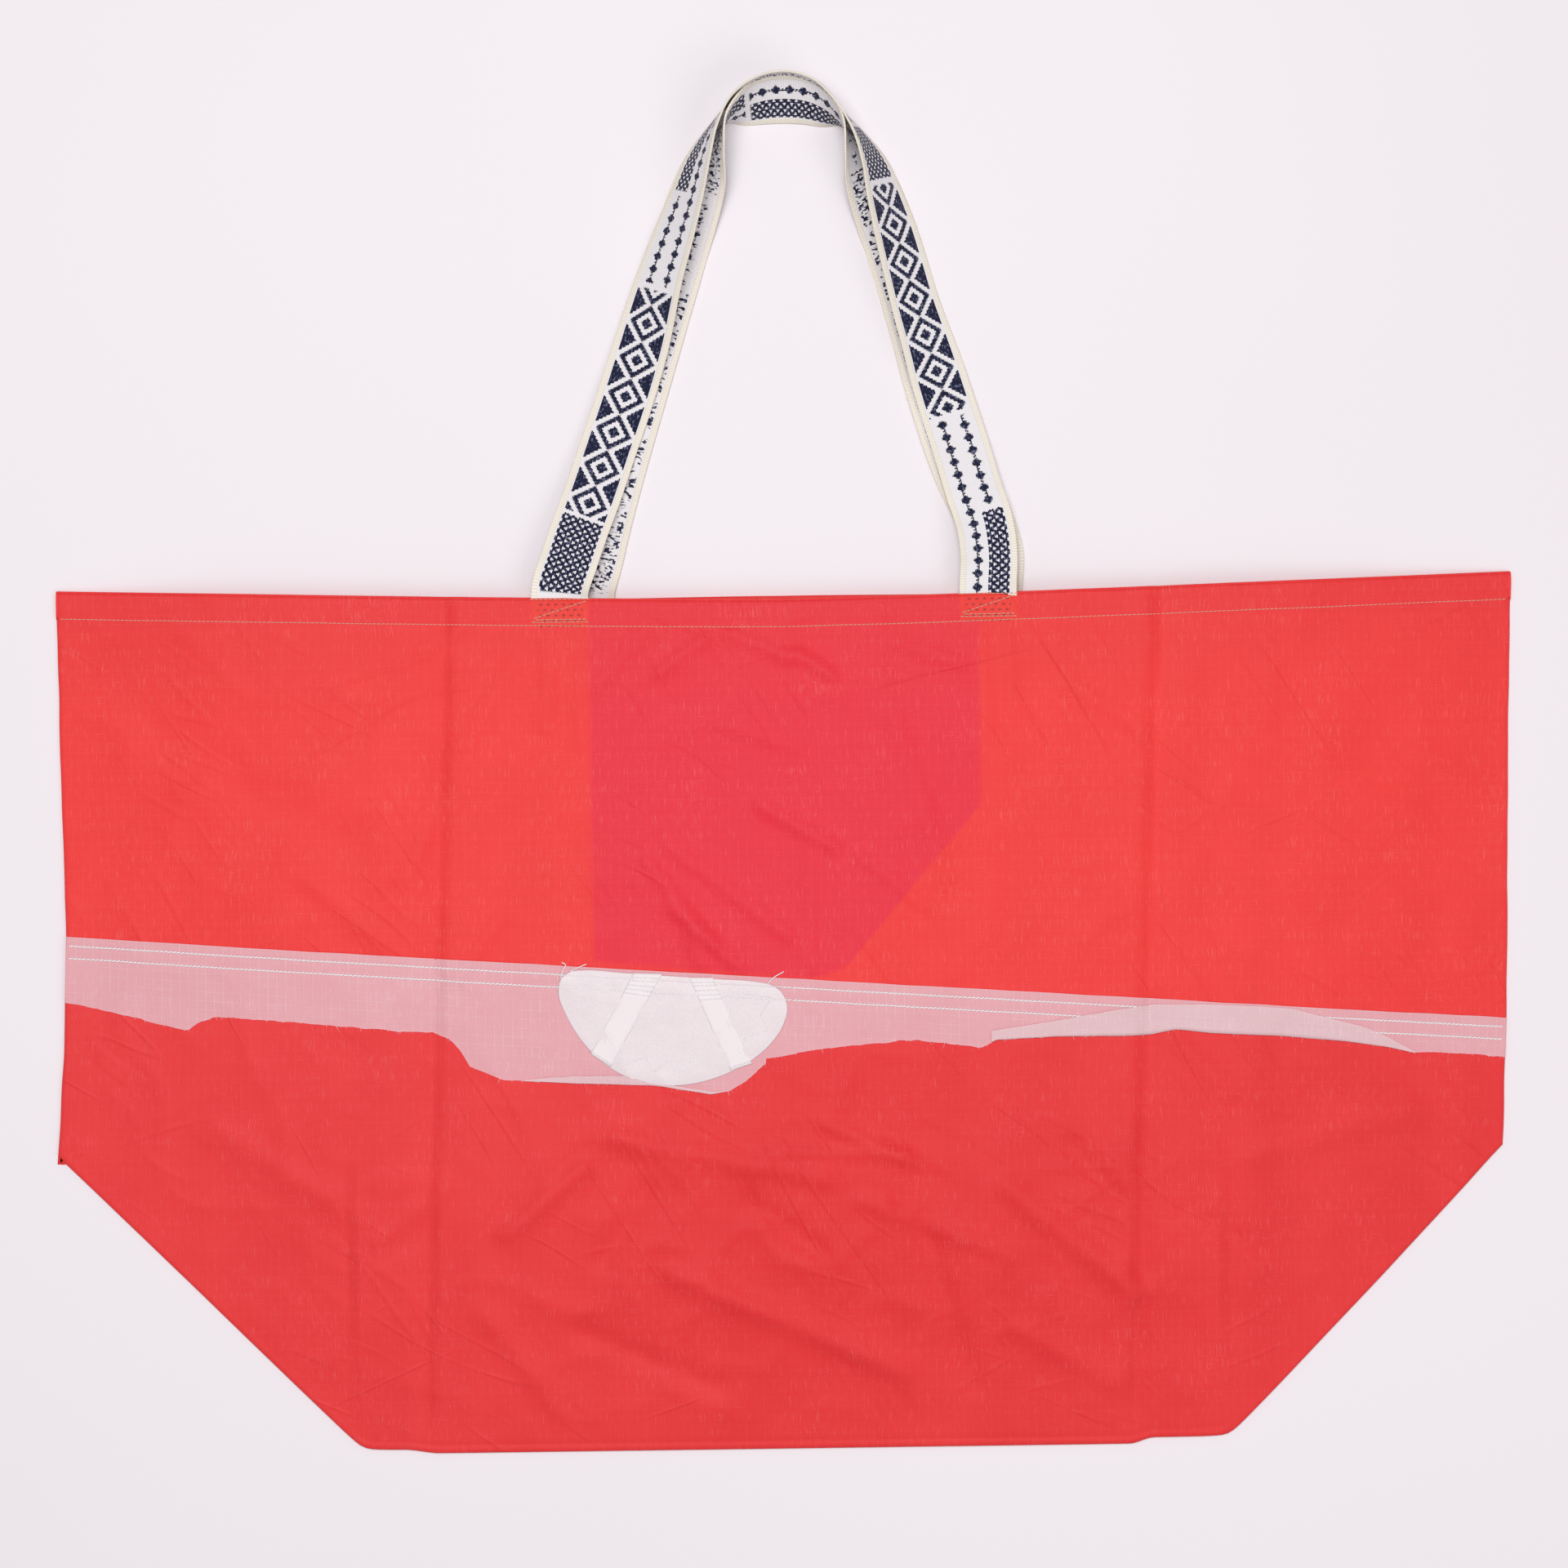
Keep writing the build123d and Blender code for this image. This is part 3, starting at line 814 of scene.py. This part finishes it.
# ---- hems
# The hem's section, from outside the rim to its sewn edge: out of the rim, and up, in millimetres
HEM_SECTION = (
    (-0.2, -0.02), (0.4, -0.25), (0.62, -0.75), (0.45, -1.25), (-0.2, -1.55), (-2.5, -1.6), (-6, -1.6),
    (-10, -1.6), (-13.6, -1.5),
)


def add_hem(panel, side, sign, rim, place, upwards):
    """The hem: turned over the rim and down the inside of its panel."""
    x = half_columns(sign, HALF, PITCH, EDGE_STEPS, MIDDLE_STEPS)
    rows = []
    for out, up in HEM_SECTION:
        y = rim(x) + out * MM
        row = place(x, np.minimum(y, rim(x)))
        row[:, 1] = y
        row[:, 2] += up * MM * upwards
        rows.append(row)
    points = np.array(rows)
    flats = together(x, points[:, :, 1])
    if upwards > 0:
        points, flats = points[::-1], flats[::-1]
    hem = add_grid(f"{panel}_hem_fold_{side}", points, flats, "panel_cloth", back_cloth)
    thicken(hem, CLOTH, offset=0.0)
    across_crease(hem, side)
    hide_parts(f"{panel}_hem_{side}", f"{panel}_hem_center")


for side, sign in SIGNS.items():
    add_hem("front", side, sign, rim_y, on_front, 1)
    add_hem("back", side, sign, back_rim_y, on_back, -1)


# ---- inner pocket
def pocket_low(x):
    """The pocket's foot."""
    return between(POCKET_FOOT, x) * MM


def pocket_high(x):
    """The pocket's sewn top, below the hem."""
    return np.full_like(x, RIM - HEM - 4 * MM)


def behind_front(x, y):
    """The pocket: close behind the front at its sewn edges, and a little away from it inside them."""
    slack = np.minimum.reduce([x - POCKET_LEFT, POCKET_RIGHT - x, y - pocket_low(x)])
    points = on_front(x, y)
    points[:, :, 2] -= 0.9 * MM + 2.6 * MM * smooth(slack, 0, 0.03)
    return points


pocket, cut = add_cloth(
    "inner_pocket_sheet", stops(POCKET_LEFT, POCKET_RIGHT, PITCH), pocket_low, pocket_high, behind_front,
    "pocket_cloth", pocket_cloth,
)
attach(pocket, "bag_centre")
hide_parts("inner_pocket")


# ---- strip over the seam
# Drop of the strip's lower edge below the seam, at stations along x, in millimetres
STRIP_EDGE = (
    (-385, 34), (-350, 39), (-317, 45.3), (-310, 39.7), (-302, 36.8), (-270, 36.8), (-200, 39), (-186, 38.3),
    (-177, 41.3), (-171, 48), (-167, 55), (-158, 58), (-149, 61.3), (-113, 61), (-69, 59.7), (-40, 62.7),
    (-31, 60.6), (-21.5, 55), (-14.4, 48), (-10.9, 44.8), (-10.7, 42.2), (13, 36.7), (49, 30.5), (69, 28.1),
    (103, 30.3), (110, 25.7), (141, 22.2), (176, 19.9), (191.5, 18.6), (205, 14.8), (224, 15.8), (260, 15.2),
    (295, 16.1), (318, 17.9), (334, 20.5), (349, 19.3), (385, 20.1),
)
STRIP_TIP = [-10.9 * MM, -10.7 * MM]  # the small step beside the patch, which needs columns of its own
STRIP_TOP = 0.6 * MM  # how far its top edge reaches above the seam
STRIP_STEPS = [step * MM for step in (-0.6, 0.6, 1.8, 2.9, 4.2, 5.5, 7.5, 9.5, 10.8, 12.1, 13.5)]
STRIP_SIDE_STEPS = [step * MM for step in (0.0, 0.5, 1.2, 2.4)]


def strip_drop(x):
    """Drop of the strip's ragged lower edge."""
    ragged = 0.5 * MM * soft_noise(x, 0, 0.004, 12.5) + 0.35 * MM * soft_noise(x, 0, 0.011, 4.4)
    return between(STRIP_EDGE, x) * MM + ragged


def strip_rows(top, low):
    """Drops of the strip's rows at each column: close ones at the seam, then even ones to the edge."""
    start = STRIP_STEPS[-1]
    count = max(2, round(float(np.max(low - top)) / (3 * MM)))
    shares = np.linspace(0, 1, count + 1)
    even = top + start + shares[:, None] * (low - top - start)
    return np.vstack([top + step for step in STRIP_STEPS[:-1]] + [even])


def strip_lift(x, drop, edge):
    """The strip lies close along its rows and stands off a little at its free edge."""
    free = smooth(drop, 12 * MM, 24 * MM)
    near_edge = smooth(edge - drop, 9 * MM, 0.0)
    ripple = 0.25 * MM * soft_noise(x, drop, 0.018, 6.6) + 0.12 * MM
    near_side = 0.6 * MM * np.exp(-(HALF - np.abs(x)) / (2 * MM))
    return 0.42 * MM + near_side + free * (0.1 * MM + ripple) + near_edge * free * -0.15 * MM


for side, sign in SIGNS.items():
    x = half_columns(sign, HALF - 0.5 * MM, 2.2 * MM, STRIP_SIDE_STEPS, MIDDLE_STEPS)
    if side == "left":
        x = np.sort(np.append(x, STRIP_TIP))
    edge = strip_drop(x)
    drop = strip_rows(0.35 * MM * soft_noise(x, 0, 0.024, 7.1), edge)
    points = on_seam(x, drop, strip_lift(x, drop, edge))
    flats = together(x, -drop)
    strip = add_grid(f"seam_strip_{side}", points[::-1], flats[::-1], "strip_cloth", strip_cloth)
    across_crease(strip, side)
    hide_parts(f"rib_strip_{side}", "rib_strip_center")
    cut = (float(x[-1] - x[0]), float(np.max(edge)) + STRIP_TOP, float(np.trapz(edge + STRIP_TOP, x)))

# The strip's two turned-back parts: drop of the turned edge below the seam, in millimetres
RIGHT_TURN = (
    (108, 21), (130, 16.5), (150, 12), (176, 5.9), (194, 2.5), (228, 0.6), (267, 0.4), (286, 4.3),
    (305, 7.9), (318, 12.4), (334, 19.8),
)
TAIL_TURN = (
    (-138, 60.6), (-136, 60.2), (-114, 57.4), (-85, 55.5), (-67, 56.6), (-60, 59.2), (-40, 61.2), (-33, 60.8),
)
TURN_ROWS = 8


def add_turnback(name, stations):
    """A part of the strip folded up over itself along its lower edge."""
    x = stops(stations[0][0] * MM, stations[-1][0] * MM, 2.5 * MM)
    top = between(stations, x) * MM + 0.3 * MM * soft_noise(x, 0, 0.006, 8.8)
    low = between(STRIP_EDGE, x) * MM
    top = np.minimum(top, low - 0.3 * MM)
    shares = np.linspace(0, 1, TURN_ROWS)[:, None]
    drop = np.vstack([low, low + 0.02 * MM, low + shares * (top - low)])
    base = strip_lift(x, np.minimum(drop, low), low)
    rise = np.array([0.05, 0.25] + [0.6] * TURN_ROWS)[:, None] * MM
    free = 0.35 * MM * np.abs(soft_noise(x, drop, 0.02, 1.9))
    points = on_seam(x, drop, base + rise + free)
    piece = add_grid(name, points, together(x, drop * 0.97 + 1.7 * MM), "strip_cloth", turned_cloth)
    return piece


turnback = add_turnback("strip_turnback", RIGHT_TURN)
across_crease(turnback, "right")
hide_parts("rib_turnback_center", "rib_turnback_right")
tail = add_turnback("strip_tail_turnback", TAIL_TURN)
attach(tail, "bag_centre")
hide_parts("rib_tail_turnback")


# ---- frayed fibres
def add_fray(name, sign, seed):
    """Loose fibres that stand out from the strip's ragged edge, each a thin tapering ribbon."""
    rng = Random(seed)
    x, last = (-HALF + 2 * MM, MIDDLE) if sign < 0 else (MIDDLE, HALF - 2 * MM)
    vertices, faces, flats = [], [], []
    while x < last:
        x += rng.uniform(1.5, 7.0) * MM
        length = rng.uniform(0.5, 1.6) * MM * (2.4 if rng.random() < 0.1 else 1.0)
        lean = rng.uniform(-0.7, 0.7) * length
        start = strip_drop(np.array([x]))[0] - 0.4 * MM
        along = np.array([0, 0.5, 1.0])
        middles = on_seam(np.array([x, x + lean * 0.4, x + lean]), start + length * along, 0.45 * MM)
        base = len(vertices)
        for middle, width in zip(middles, (0.16, 0.12, 0.04)):
            half = np.array([width * MM / 2, 0, 0])
            vertices += [middle - half, middle + half]
            flats += [(x, 0.0), (x + 0.1 * MM, length)]
        faces += [(base, base + 2, base + 3, base + 1), (base + 2, base + 4, base + 5, base + 3)]
    return add_piece(name, vertices, faces, flats, "strip_cloth", white_thread)


for side, sign in SIGNS.items():
    fray = add_fray(f"strip_fray_{side}", sign, 11 + sign)
    thicken(fray, 0.06 * MM)
    across_crease(fray, side)


# ---- stitches
RING = 6
FLATNESS = 0.6
# A stitch's rings: place along it, girth and rise, the last two as shares of its radius
CAPSULE = ((0.0, 0.5, -0.7), (0.16, 0.9, 0.2), (0.5, 1.0, 0.75), (0.84, 0.9, 0.2), (1.0, 0.5, -0.7))
ANGLES = [math.tau * k / RING for k in range(RING)]


def beside_and_over(forward):
    """The unit directions to the side of a direction and over it."""
    sideways = np.cross((0, 0, 1), forward)
    sideways /= np.linalg.norm(sideways)
    return sideways, np.cross(forward, sideways)


def tube_faces(base, rings):
    """Faces of a closed tube made of rings of vertices, the first of them at base."""
    faces = []
    for ring in range(base, base + (rings - 1) * RING, RING):
        for k in range(RING):
            a, b = ring + k, ring + (k + 1) % RING
            faces.append((a, b, b + RING, a + RING))
    last = base + (rings - 1) * RING
    faces.append(tuple(base + k for k in reversed(range(RING))))
    faces.append(tuple(last + k for k in range(RING)))
    return faces


class Sewing:
    """Collects stitches, each a short rounded length of thread, into one piece."""

    def __init__(self, radius):
        self.radius = radius
        self.vertices, self.faces, self.flats = [], [], []

    def stitch(self, start, end):
        """One stitch between two points on the cloth."""
        length = np.linalg.norm(end - start)
        sideways, up = beside_and_over((end - start) / length)
        self.faces += tube_faces(len(self.vertices), len(CAPSULE))
        for share, girth, rise in CAPSULE:
            middle = start + share * (end - start) + up * rise * self.radius
            for k, angle in enumerate(ANGLES):
                out = sideways * math.cos(angle) + up * FLATNESS * math.sin(angle)
                self.vertices.append(middle + out * girth * self.radius)
                self.flats.append((share * length, k / RING * math.tau * self.radius))

    def row(self, points, pitch=STITCH_PITCH, share=0.88, slant=0.0):
        """Stitches along a line of points; slant turns each one a little, in radians."""
        walked = distances_along(points)
        count = max(1, int(walked[-1] / pitch))
        step = walked[-1] / count
        for k in range(count):
            middle = (k + 0.5) * step
            start = point_at(middle - share * step / 2, walked, points)
            end = point_at(middle + share * step / 2, walked, points)
            across = np.cross((0, 0, 1), end - start) * math.tan(slant) / 2
            self.stitch(start - across, end + across)

    def piece(self, name, material, slot):
        """All stitches so far as one mesh object."""
        return add_piece(name, self.vertices, self.faces, self.flats, slot, material)


for side, sign in SIGNS.items():
    ends = (-HALF + 2 * MM, MIDDLE) if sign < 0 else (MIDDLE, HALF - 2 * MM)
    x = np.arange(*ends, 1.0 * MM)
    rows = Sewing(0.4 * MM)
    for drop in ROW_DROPS:
        wander = drop + 0.18 * MM * soft_noise(x, 0, 0.02, drop * 900)
        rows.row(on_seam(x, wander, 0.62 * MM), share=1.12, slant=0.26)
    seam_rows = rows.piece(f"seam_stitching_{side}", white_thread, "white_thread")
    across_crease(seam_rows, side)
    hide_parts(f"seam_stitches_{side}", "seam_stitches_center")

    hem_line = Sewing(0.24 * MM)
    wander = 0.2 * MM * soft_noise(x, 0, 0.03, 1.3)
    hem_line.row(on_front(x, rim_y(x) - HEM + wander, 0.1 * MM), slant=0.12)
    hem_row = hem_line.piece(f"hem_stitching_{side}", beige_thread, "beige_thread")
    across_crease(hem_row, side)
    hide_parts(f"hem_stitches_{side}", "hem_stitches_center")


# ---- reinforcement patch
PATCH_LIFT = 1.3 * MM
# The patch's border: x, and drop below the seam, in millimetres
PATCH_BORDER = np.array([
    (-112, 1.9), (-107, 1.2), (-85, 1.4), (-60, 1.7), (-35, 1.9), (-15, 2.2), (-8, 3.2), (-2, 7), (0.8, 14),
    (-1.5, 24), (-8, 34), (-17, 42.5), (-29, 50), (-42, 55.5), (-56, 58.8), (-70, 59), (-84, 56), (-96, 49.5),
    (-107, 39), (-115.5, 25.5), (-119.5, 14), (-118, 6),
])


def through(stations, pitch, closed=False):
    """Points about pitch apart on a smooth curve; the stations' first two numbers are distances."""
    if closed:
        stations = np.vstack([stations[-2:], stations, stations[:3]])
    walked = distances_along(stations[:, :2])
    chords = np.linalg.norm(np.diff(stations[:, :2], axis=0), axis=1)
    slopes = np.gradient(stations, walked, axis=0)
    first, last = (2, len(stations) - 3) if closed else (0, len(stations) - 1)
    result = []
    for k in range(first, last):
        steps = max(1, round(chords[k] / pitch))
        for n in range(steps):
            t = n / steps
            result.append(
                (2 * t**3 - 3 * t**2 + 1) * stations[k] + (t**3 - 2 * t**2 + t) * chords[k] * slopes[k]
                + (3 * t**2 - 2 * t**3) * stations[k + 1] + (t**3 - t**2) * chords[k] * slopes[k + 1]
            )
    if not closed:
        result.append(stations[-1])
    return np.array(result)


def over_patch(points, lift):
    """Points of x and drop, put over the front at the patch's level."""
    return on_seam(points[..., 0], points[..., 1], PATCH_LIFT + lift)


border = through(PATCH_BORDER * MM, 2.4 * MM, closed=True)
patch_middle = border.mean(axis=0)
shares = np.array([0.02, 0.15, 0.3, 0.45, 0.6, 0.72, 0.82, 0.9, 0.96, 0.99, 1.0])
rings = patch_middle + shares[:, None, None] * (border - patch_middle)
crumple = 0.25 * MM * soft_noise(rings[:, :, 0], rings[:, :, 1], 0.014, 3.3)
edge_turn = -0.35 * MM * smooth(shares, 0.93, 1.0)[:, None]
points = over_patch(rings, crumple + edge_turn)
flats = rings * np.array([1, -1])
patch = add_grid(
    "reinforcement_patch_sheet", points[::-1], flats[::-1], "patch_cloth", patch_cloth, closed=True,
)
thicken(patch, 0.2 * MM)
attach(patch, "bag_centre")
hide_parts("reinforcement_patch")

# The inverted V of tape: top left, top right, foot right, foot left of each leg, as x and drop below the seam
PATCH_TAPES = {
    "left": np.array([(-80, 1.1), (-64.6, 0.6), (-92.5, 51.3), (-103, 44.9)]) * MM,
    "right": np.array([(-50.7, 1.9), (-38, 1.2), (-18.2, 45.3), (-29.6, 49.6)]) * MM,
}
PATCH_TAPE_COLUMNS = 13
PATCH_TAPE_ROWS = 36

for side, (a, b, c, d) in PATCH_TAPES.items():
    u = np.linspace(0, 1, PATCH_TAPE_COLUMNS)[None, :, None]
    v = np.linspace(0, 1, PATCH_TAPE_ROWS)[:, None, None]
    block = (a + (b - a) * u) * (1 - v) + (d + (c - d) * u) * v
    ribs = 0.05 * MM * np.cos(np.linspace(0, 6 * math.tau, PATCH_TAPE_COLUMNS))
    puff = 0.18 * MM * np.sin(np.linspace(0, math.pi, PATCH_TAPE_COLUMNS))
    uneven = 0.12 * MM * soft_noise(block[:, :, 0], block[:, :, 1], 0.01, 5.1)
    points = over_patch(block, 0.25 * MM + puff + uneven + ribs)
    flats = together(u[..., 0] * np.linalg.norm(b - a), v[..., 0] * np.linalg.norm(d - a))
    tape = add_grid(f"patch_tape_{side}_strip", points[::-1], flats[::-1], "white_tape", white_tape)
    thicken(tape, 0.4 * MM)
    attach(tape, "bag_centre")
    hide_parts(f"patch_tape_{side}")

# Zigzag inside the patch's border, then the rows across and along the tapes
ZIGZAG_TURNS = 19
ZIGZAG_START, ZIGZAG_END = 0.345, 0.985  # shares of the way round the border
ZIGZAG_INSETS = (14 * MM, 6.5 * MM)
TAPE_SEWING = (0.05, 0.09, 0.14, 0.19, 0.24, 0.97)  # shares of the way down a leg
patch_sewing = Sewing(0.28 * MM)
sewn = through(PATCH_BORDER * MM, 0.5 * MM, closed=True)
walked = distances_along(sewn)
zigzag = []
for k in range(ZIGZAG_TURNS + 1):
    share = ZIGZAG_START + (ZIGZAG_END - ZIGZAG_START) * k / ZIGZAG_TURNS
    point = point_at(share * walked[-1], walked, sewn)
    inward = patch_middle - point
    inward /= np.linalg.norm(inward)
    zigzag.append(point + inward * ZIGZAG_INSETS[k % 2])
for first, second in zip(zigzag, zigzag[1:]):
    leg = first + np.linspace(0, 1, 12)[:, None] * (second - first)
    patch_sewing.row(over_patch(leg, 0.22 * MM), pitch=3.4 * MM, share=1.0)
for a, b, c, d in PATCH_TAPES.values():
    for share in TAPE_SEWING:
        left, right = a + (d - a) * share, b + (c - b) * share
        line = left + np.linspace(0, 1, 14)[:, None] * (right - left)
        patch_sewing.row(over_patch(line, 0.6 * MM), pitch=1.9 * MM)
for drop in ROW_DROPS:
    x = np.arange(-118 * MM, -1 * MM, 1.0 * MM)
    patch_sewing.row(on_seam(x, drop, PATCH_LIFT + 0.32 * MM), slant=0.2)
patch_rows = patch_sewing.piece("patch_stitching", white_thread, "white_thread")
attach(patch_rows, "bag_centre")
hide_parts("patch_stitches")


# ---- loose threads
def add_threads(name, routes, radius, pitch):
    """Thin round threads along routes of points."""
    vertices, faces, flats = [], [], []
    for route in routes:
        path = through(route, pitch)
        faces += tube_faces(len(vertices), len(path))
        for k, point in enumerate(path):
            forward = path[min(k + 1, len(path) - 1)] - path[max(k - 1, 0)]
            sideways, up = beside_and_over(forward / np.linalg.norm(forward))
            for n, angle in enumerate(ANGLES):
                vertices.append(point + radius * (sideways * math.cos(angle) + up * math.sin(angle)))
                flats.append((k * pitch, n * radius))
    return add_piece(name, vertices, faces, flats, "white_thread", white_thread)


LOOSE_ENDS = (  # x and drop below the seam, in millimetres
    ((-113, 2), (-110.5, 0.6), (-108, -0.6), (-104.6, -2.2)),
    ((-118, 6), (-117.2, 2.4), (-115.6, -1.4), (-117.6, -2.4)),
    ((-14.4, 10.5), (-11, 5.6), (-6.4, -0.4), (-0.8, -4)),
)
routes = [over_patch(np.array(route) * MM, np.linspace(0.2, -0.3, 4) * MM) for route in LOOSE_ENDS]
threads = add_threads("loose_thread_ends", routes, 0.27 * MM, 0.8 * MM)
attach(threads, "bag_centre")
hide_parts("loose_threads")


# ---- handles
# Stations of each tape: x, rise above the rim, height of its middle, twist in degrees
FRONT_TAPE = (
    (-116, 0, 11.6, 0), (-110.5, 18, 11.0, 0), (-105, 34, 9.2, 0), (-97.5, 54, 6.2, 0), (-90, 76, 3.8, 0),
    (-82.5, 97, 3.0, 0), (-72, 129, 4.5, 12), (-61.3, 165, 9.2, 34), (-53, 189, 11.5, 43),
    (-46.3, 208, 13.4, 52), (-39.6, 228, 15.0, 63), (-32, 244, 15.8, 78), (-21.5, 258.5, 16.2, 88),
    (-7, 267.5, 16.2, 90), (7.5, 269.5, 16.2, 90), (20.5, 265.5, 16.2, 90), (33.5, 254, 16.1, 86),
    (44.5, 240, 15.6, 76), (52.4, 225, 14.8, 62), (58, 207, 13.0, 49), (63.8, 187, 11.0, 39),
    (67.5, 173, 9.8, 35), (73.8, 149, 8.2, 29), (80, 129, 6.2, 20), (84.8, 113, 4.0, 8),
    (90.4, 94.6, 3.0, 0), (97, 73, 4.2, 0), (103, 51.5, 6.6, 0), (108.3, 34, 9.2, 0), (110.2, 17, 11.0, 0),
    (109.5, 0, 11.6, 0),
)
BACK_TAPE = (
    (-102.5, 0, 1.6, 180), (-98, 18, 1.3, 180), (-93, 38, 1.1, 180), (-87.5, 58, 1.1, 180),
    (-70.2, 116, 1.1, 180), (-56.6, 161, 1.1, 180), (-47, 192, 1.6, 178), (-38.5, 217, 6.0, 156),
    (-31, 236, 12.0, 118), (-22, 250, 14.2, 82), (-9, 257, 11.5, 50), (5, 259, 10.6, 42),
    (19, 257, 11.5, 48), (33, 248, 14.2, 80), (42, 235, 12.0, 118), (50.5, 215, 6.0, 156),
    (58.5, 193, 1.6, 178), (73.2, 144, 1.1, 180), (85, 99, 1.1, 180), (98, 60, 1.1, 180),
    (109, 36, 1.1, 180), (114, 18, 1.3, 180), (113, 0, 1.6, 180),
)
TAPE_COLUMNS = np.array([-15, -14.6, -13.2, -12, -9, -6, -3, 0, 3, 6, 9, 12, 13.2, 14.6, 15]) * MM
TUCKED = (12.5 * MM, 7 * MM)  # depths below the rim of the sewn end's stations


def unit(vectors):
    """Vectors brought to length 1, each in its own row."""
    return vectors / np.linalg.norm(vectors, axis=1)[:, None]


def tape_points(path, twist_sense):
    """A ribbon along a path of x, y, height and twist: rows along it, columns across it."""
    middle = path[:, :3]
    forward = unit(np.gradient(middle, axis=0))
    outward = unit(together(-forward[:, 1], forward[:, 0], 0.0))
    up = np.cross(outward, forward) * -1
    up *= np.sign(up[:, 2:3])
    turn = np.radians(path[:, 3])[:, None] * twist_sense
    width = outward * np.cos(turn) - up * np.sin(turn)
    face = up * np.cos(turn) + outward * np.sin(turn)
    over = middle[:, None, :] + width[:, None, :] * TAPE_COLUMNS[None, :, None]
    return over + face[:, None, :] * TAPE_THICKNESS / 2


def add_handle(body, stations, ends, end_height, twist_sense):
    """A handle: its free path, and its ends sewn in at the height end_height(x, y)."""
    free = np.array(stations, float) * np.array([MM, MM, MM, 1])
    free[:, 1] += RIM
    tucks = []
    for x in ends:
        tucks.append(np.array([(x, RIM - depth, end_height(x, RIM - depth), free[0][3]) for depth in TUCKED]))
    path = through(np.vstack([tucks[0], free, tucks[1][::-1]]), 2.0 * MM)
    points = tape_points(path, twist_sense)
    walked = distances_along(path[:, :3]) - TUCKED[0]
    flats = together(TAPE_COLUMNS, walked[:, None])
    piece = add_grid(
        f"{body}_webbing", points[:, ::-1], flats[:, ::-1], "handle_webbing", tape_face, tape_reverse,
    )
    thicken(piece, TAPE_THICKNESS, -1.0, 1)
    HINGE_Y - 8 * MM
    HINGE_Y + 5 * MM
    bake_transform(piece)
    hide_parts(f"{body}_tape", f"{body}_end_left", f"{body}_end_right")


add_handle("front_handle", FRONT_TAPE, FRONT_ENDS, lambda x, y: on_front(x, y)[2] - 1.0 * MM, 1)
add_handle("back_handle", BACK_TAPE, BACK_ENDS, lambda x, y: 1.5 * MM, -1)


# ---- stitches of the handle ends
def sew_ends(body, ends, place):
    """The top row, the diagonal and the doubled bottom row of each sewn end."""
    sewing = Sewing(0.26 * MM)
    top, foot = RIM - 3.2 * MM, RIM - HEM - 1.2 * MM
    for x in ends:
        left, right = x - TAPE_WIDTH / 2, x + TAPE_WIDTH / 2
        lines = (
            ((left - 1 * MM, top), (right + 1 * MM, top)),
            ((right - 1 * MM, top - 1 * MM), (left + 1 * MM, foot + 2 * MM)),
            ((left, foot), (right, foot)),
            ((left + 2 * MM, foot + 1.3 * MM), (right - 1 * MM, foot + 1.4 * MM)),
        )
        for (ax, ay), (bx, by) in lines:
            share = np.linspace(0, 1, 24)
            sewing.row(place(ax + share * (bx - ax), ay + share * (by - ay)))
    piece = sewing.piece(f"{body}_sewing", beige_thread, "beige_thread")
    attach(piece, "bag_centre")
    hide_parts(f"{body}_stitches")


sew_ends("front_handle", FRONT_ENDS, lambda x, y: on_front(x, y, 0.1 * MM))
sew_ends("back_handle", BACK_ENDS, lambda x, y: together(x, y, 3.2 * MM))


# ---- floor, lights and camera
def floor_material():
    """Pale, nearly even and matt."""
    shader = Shader("pale_floor")
    tone = shader.noise(2.0, 2.0, 2.0, 0.5)
    shade = shader.mix(tone, (238, 233, 237), (242, 237, 241))
    return shader.finish(shade, tone, 0.1 * MM, 0.7)


FLOOR_HALF = 3.0
floor_corners = [(x * FLOOR_HALF, y * FLOOR_HALF) for x, y in ((-1, -1), (1, -1), (1, 1), (-1, 1))]
floor_mesh = bpy.data.meshes.new("floor")
floor_mesh.from_pydata([(x, y, 0) for x, y in floor_corners], [], [(0, 1, 2, 3)])
floor_flat = floor_mesh.uv_layers.new(name="flat")
for loop, corner in zip(floor_flat.data, floor_corners):
    loop.uv = corner
floor_mesh.materials.append(floor_material())
floor = bpy.data.objects.new("floor", floor_mesh)
bpy.context.scene.collection.objects.link(floor)


def add_area_light(name, place, size, power, colour):
    """A square light that points at the middle of the scene."""
    light = bpy.data.lights.new(name, "AREA")
    light.shape = "SQUARE"
    light.size = size
    light.energy = power
    light.color = colour
    lamp = bpy.data.objects.new(name, light)
    lamp.location = place
    lamp.rotation_euler = (-Vector(place)).to_track_quat("-Z", "Y").to_euler()
    bpy.context.scene.collection.objects.link(lamp)


add_area_light("softbox_above", (-0.28, 0.5, 2.6), 1.4, 47.5, (1.0, 0.985, 0.99))
add_area_light("softbox_side", (1.6, -1.2, 2.2), 1.8, 17, (1.0, 0.99, 1.0))

world = bpy.data.worlds.new("studio")
world.use_nodes = True
background = world.node_tree.nodes["Background"]
background.inputs["Color"].default_value = (1.0, 0.985, 0.995, 1.0)
background.inputs["Strength"].default_value = 0.30
bpy.context.scene.world = world
bpy.context.scene.view_settings.view_transform = "Standard"

CAMERA_HEIGHT = 1.96
camera_data = bpy.data.cameras.new("camera")
camera_data.lens = 85
camera_data.sensor_width = 36
camera = bpy.data.objects.new("camera", camera_data)
camera.location = (0.65 * MM, -12 * MM, CAMERA_HEIGHT)
camera.rotation_euler = (0, 0, math.radians(-0.8))
bpy.context.scene.collection.objects.link(camera)
bpy.context.scene.camera = camera
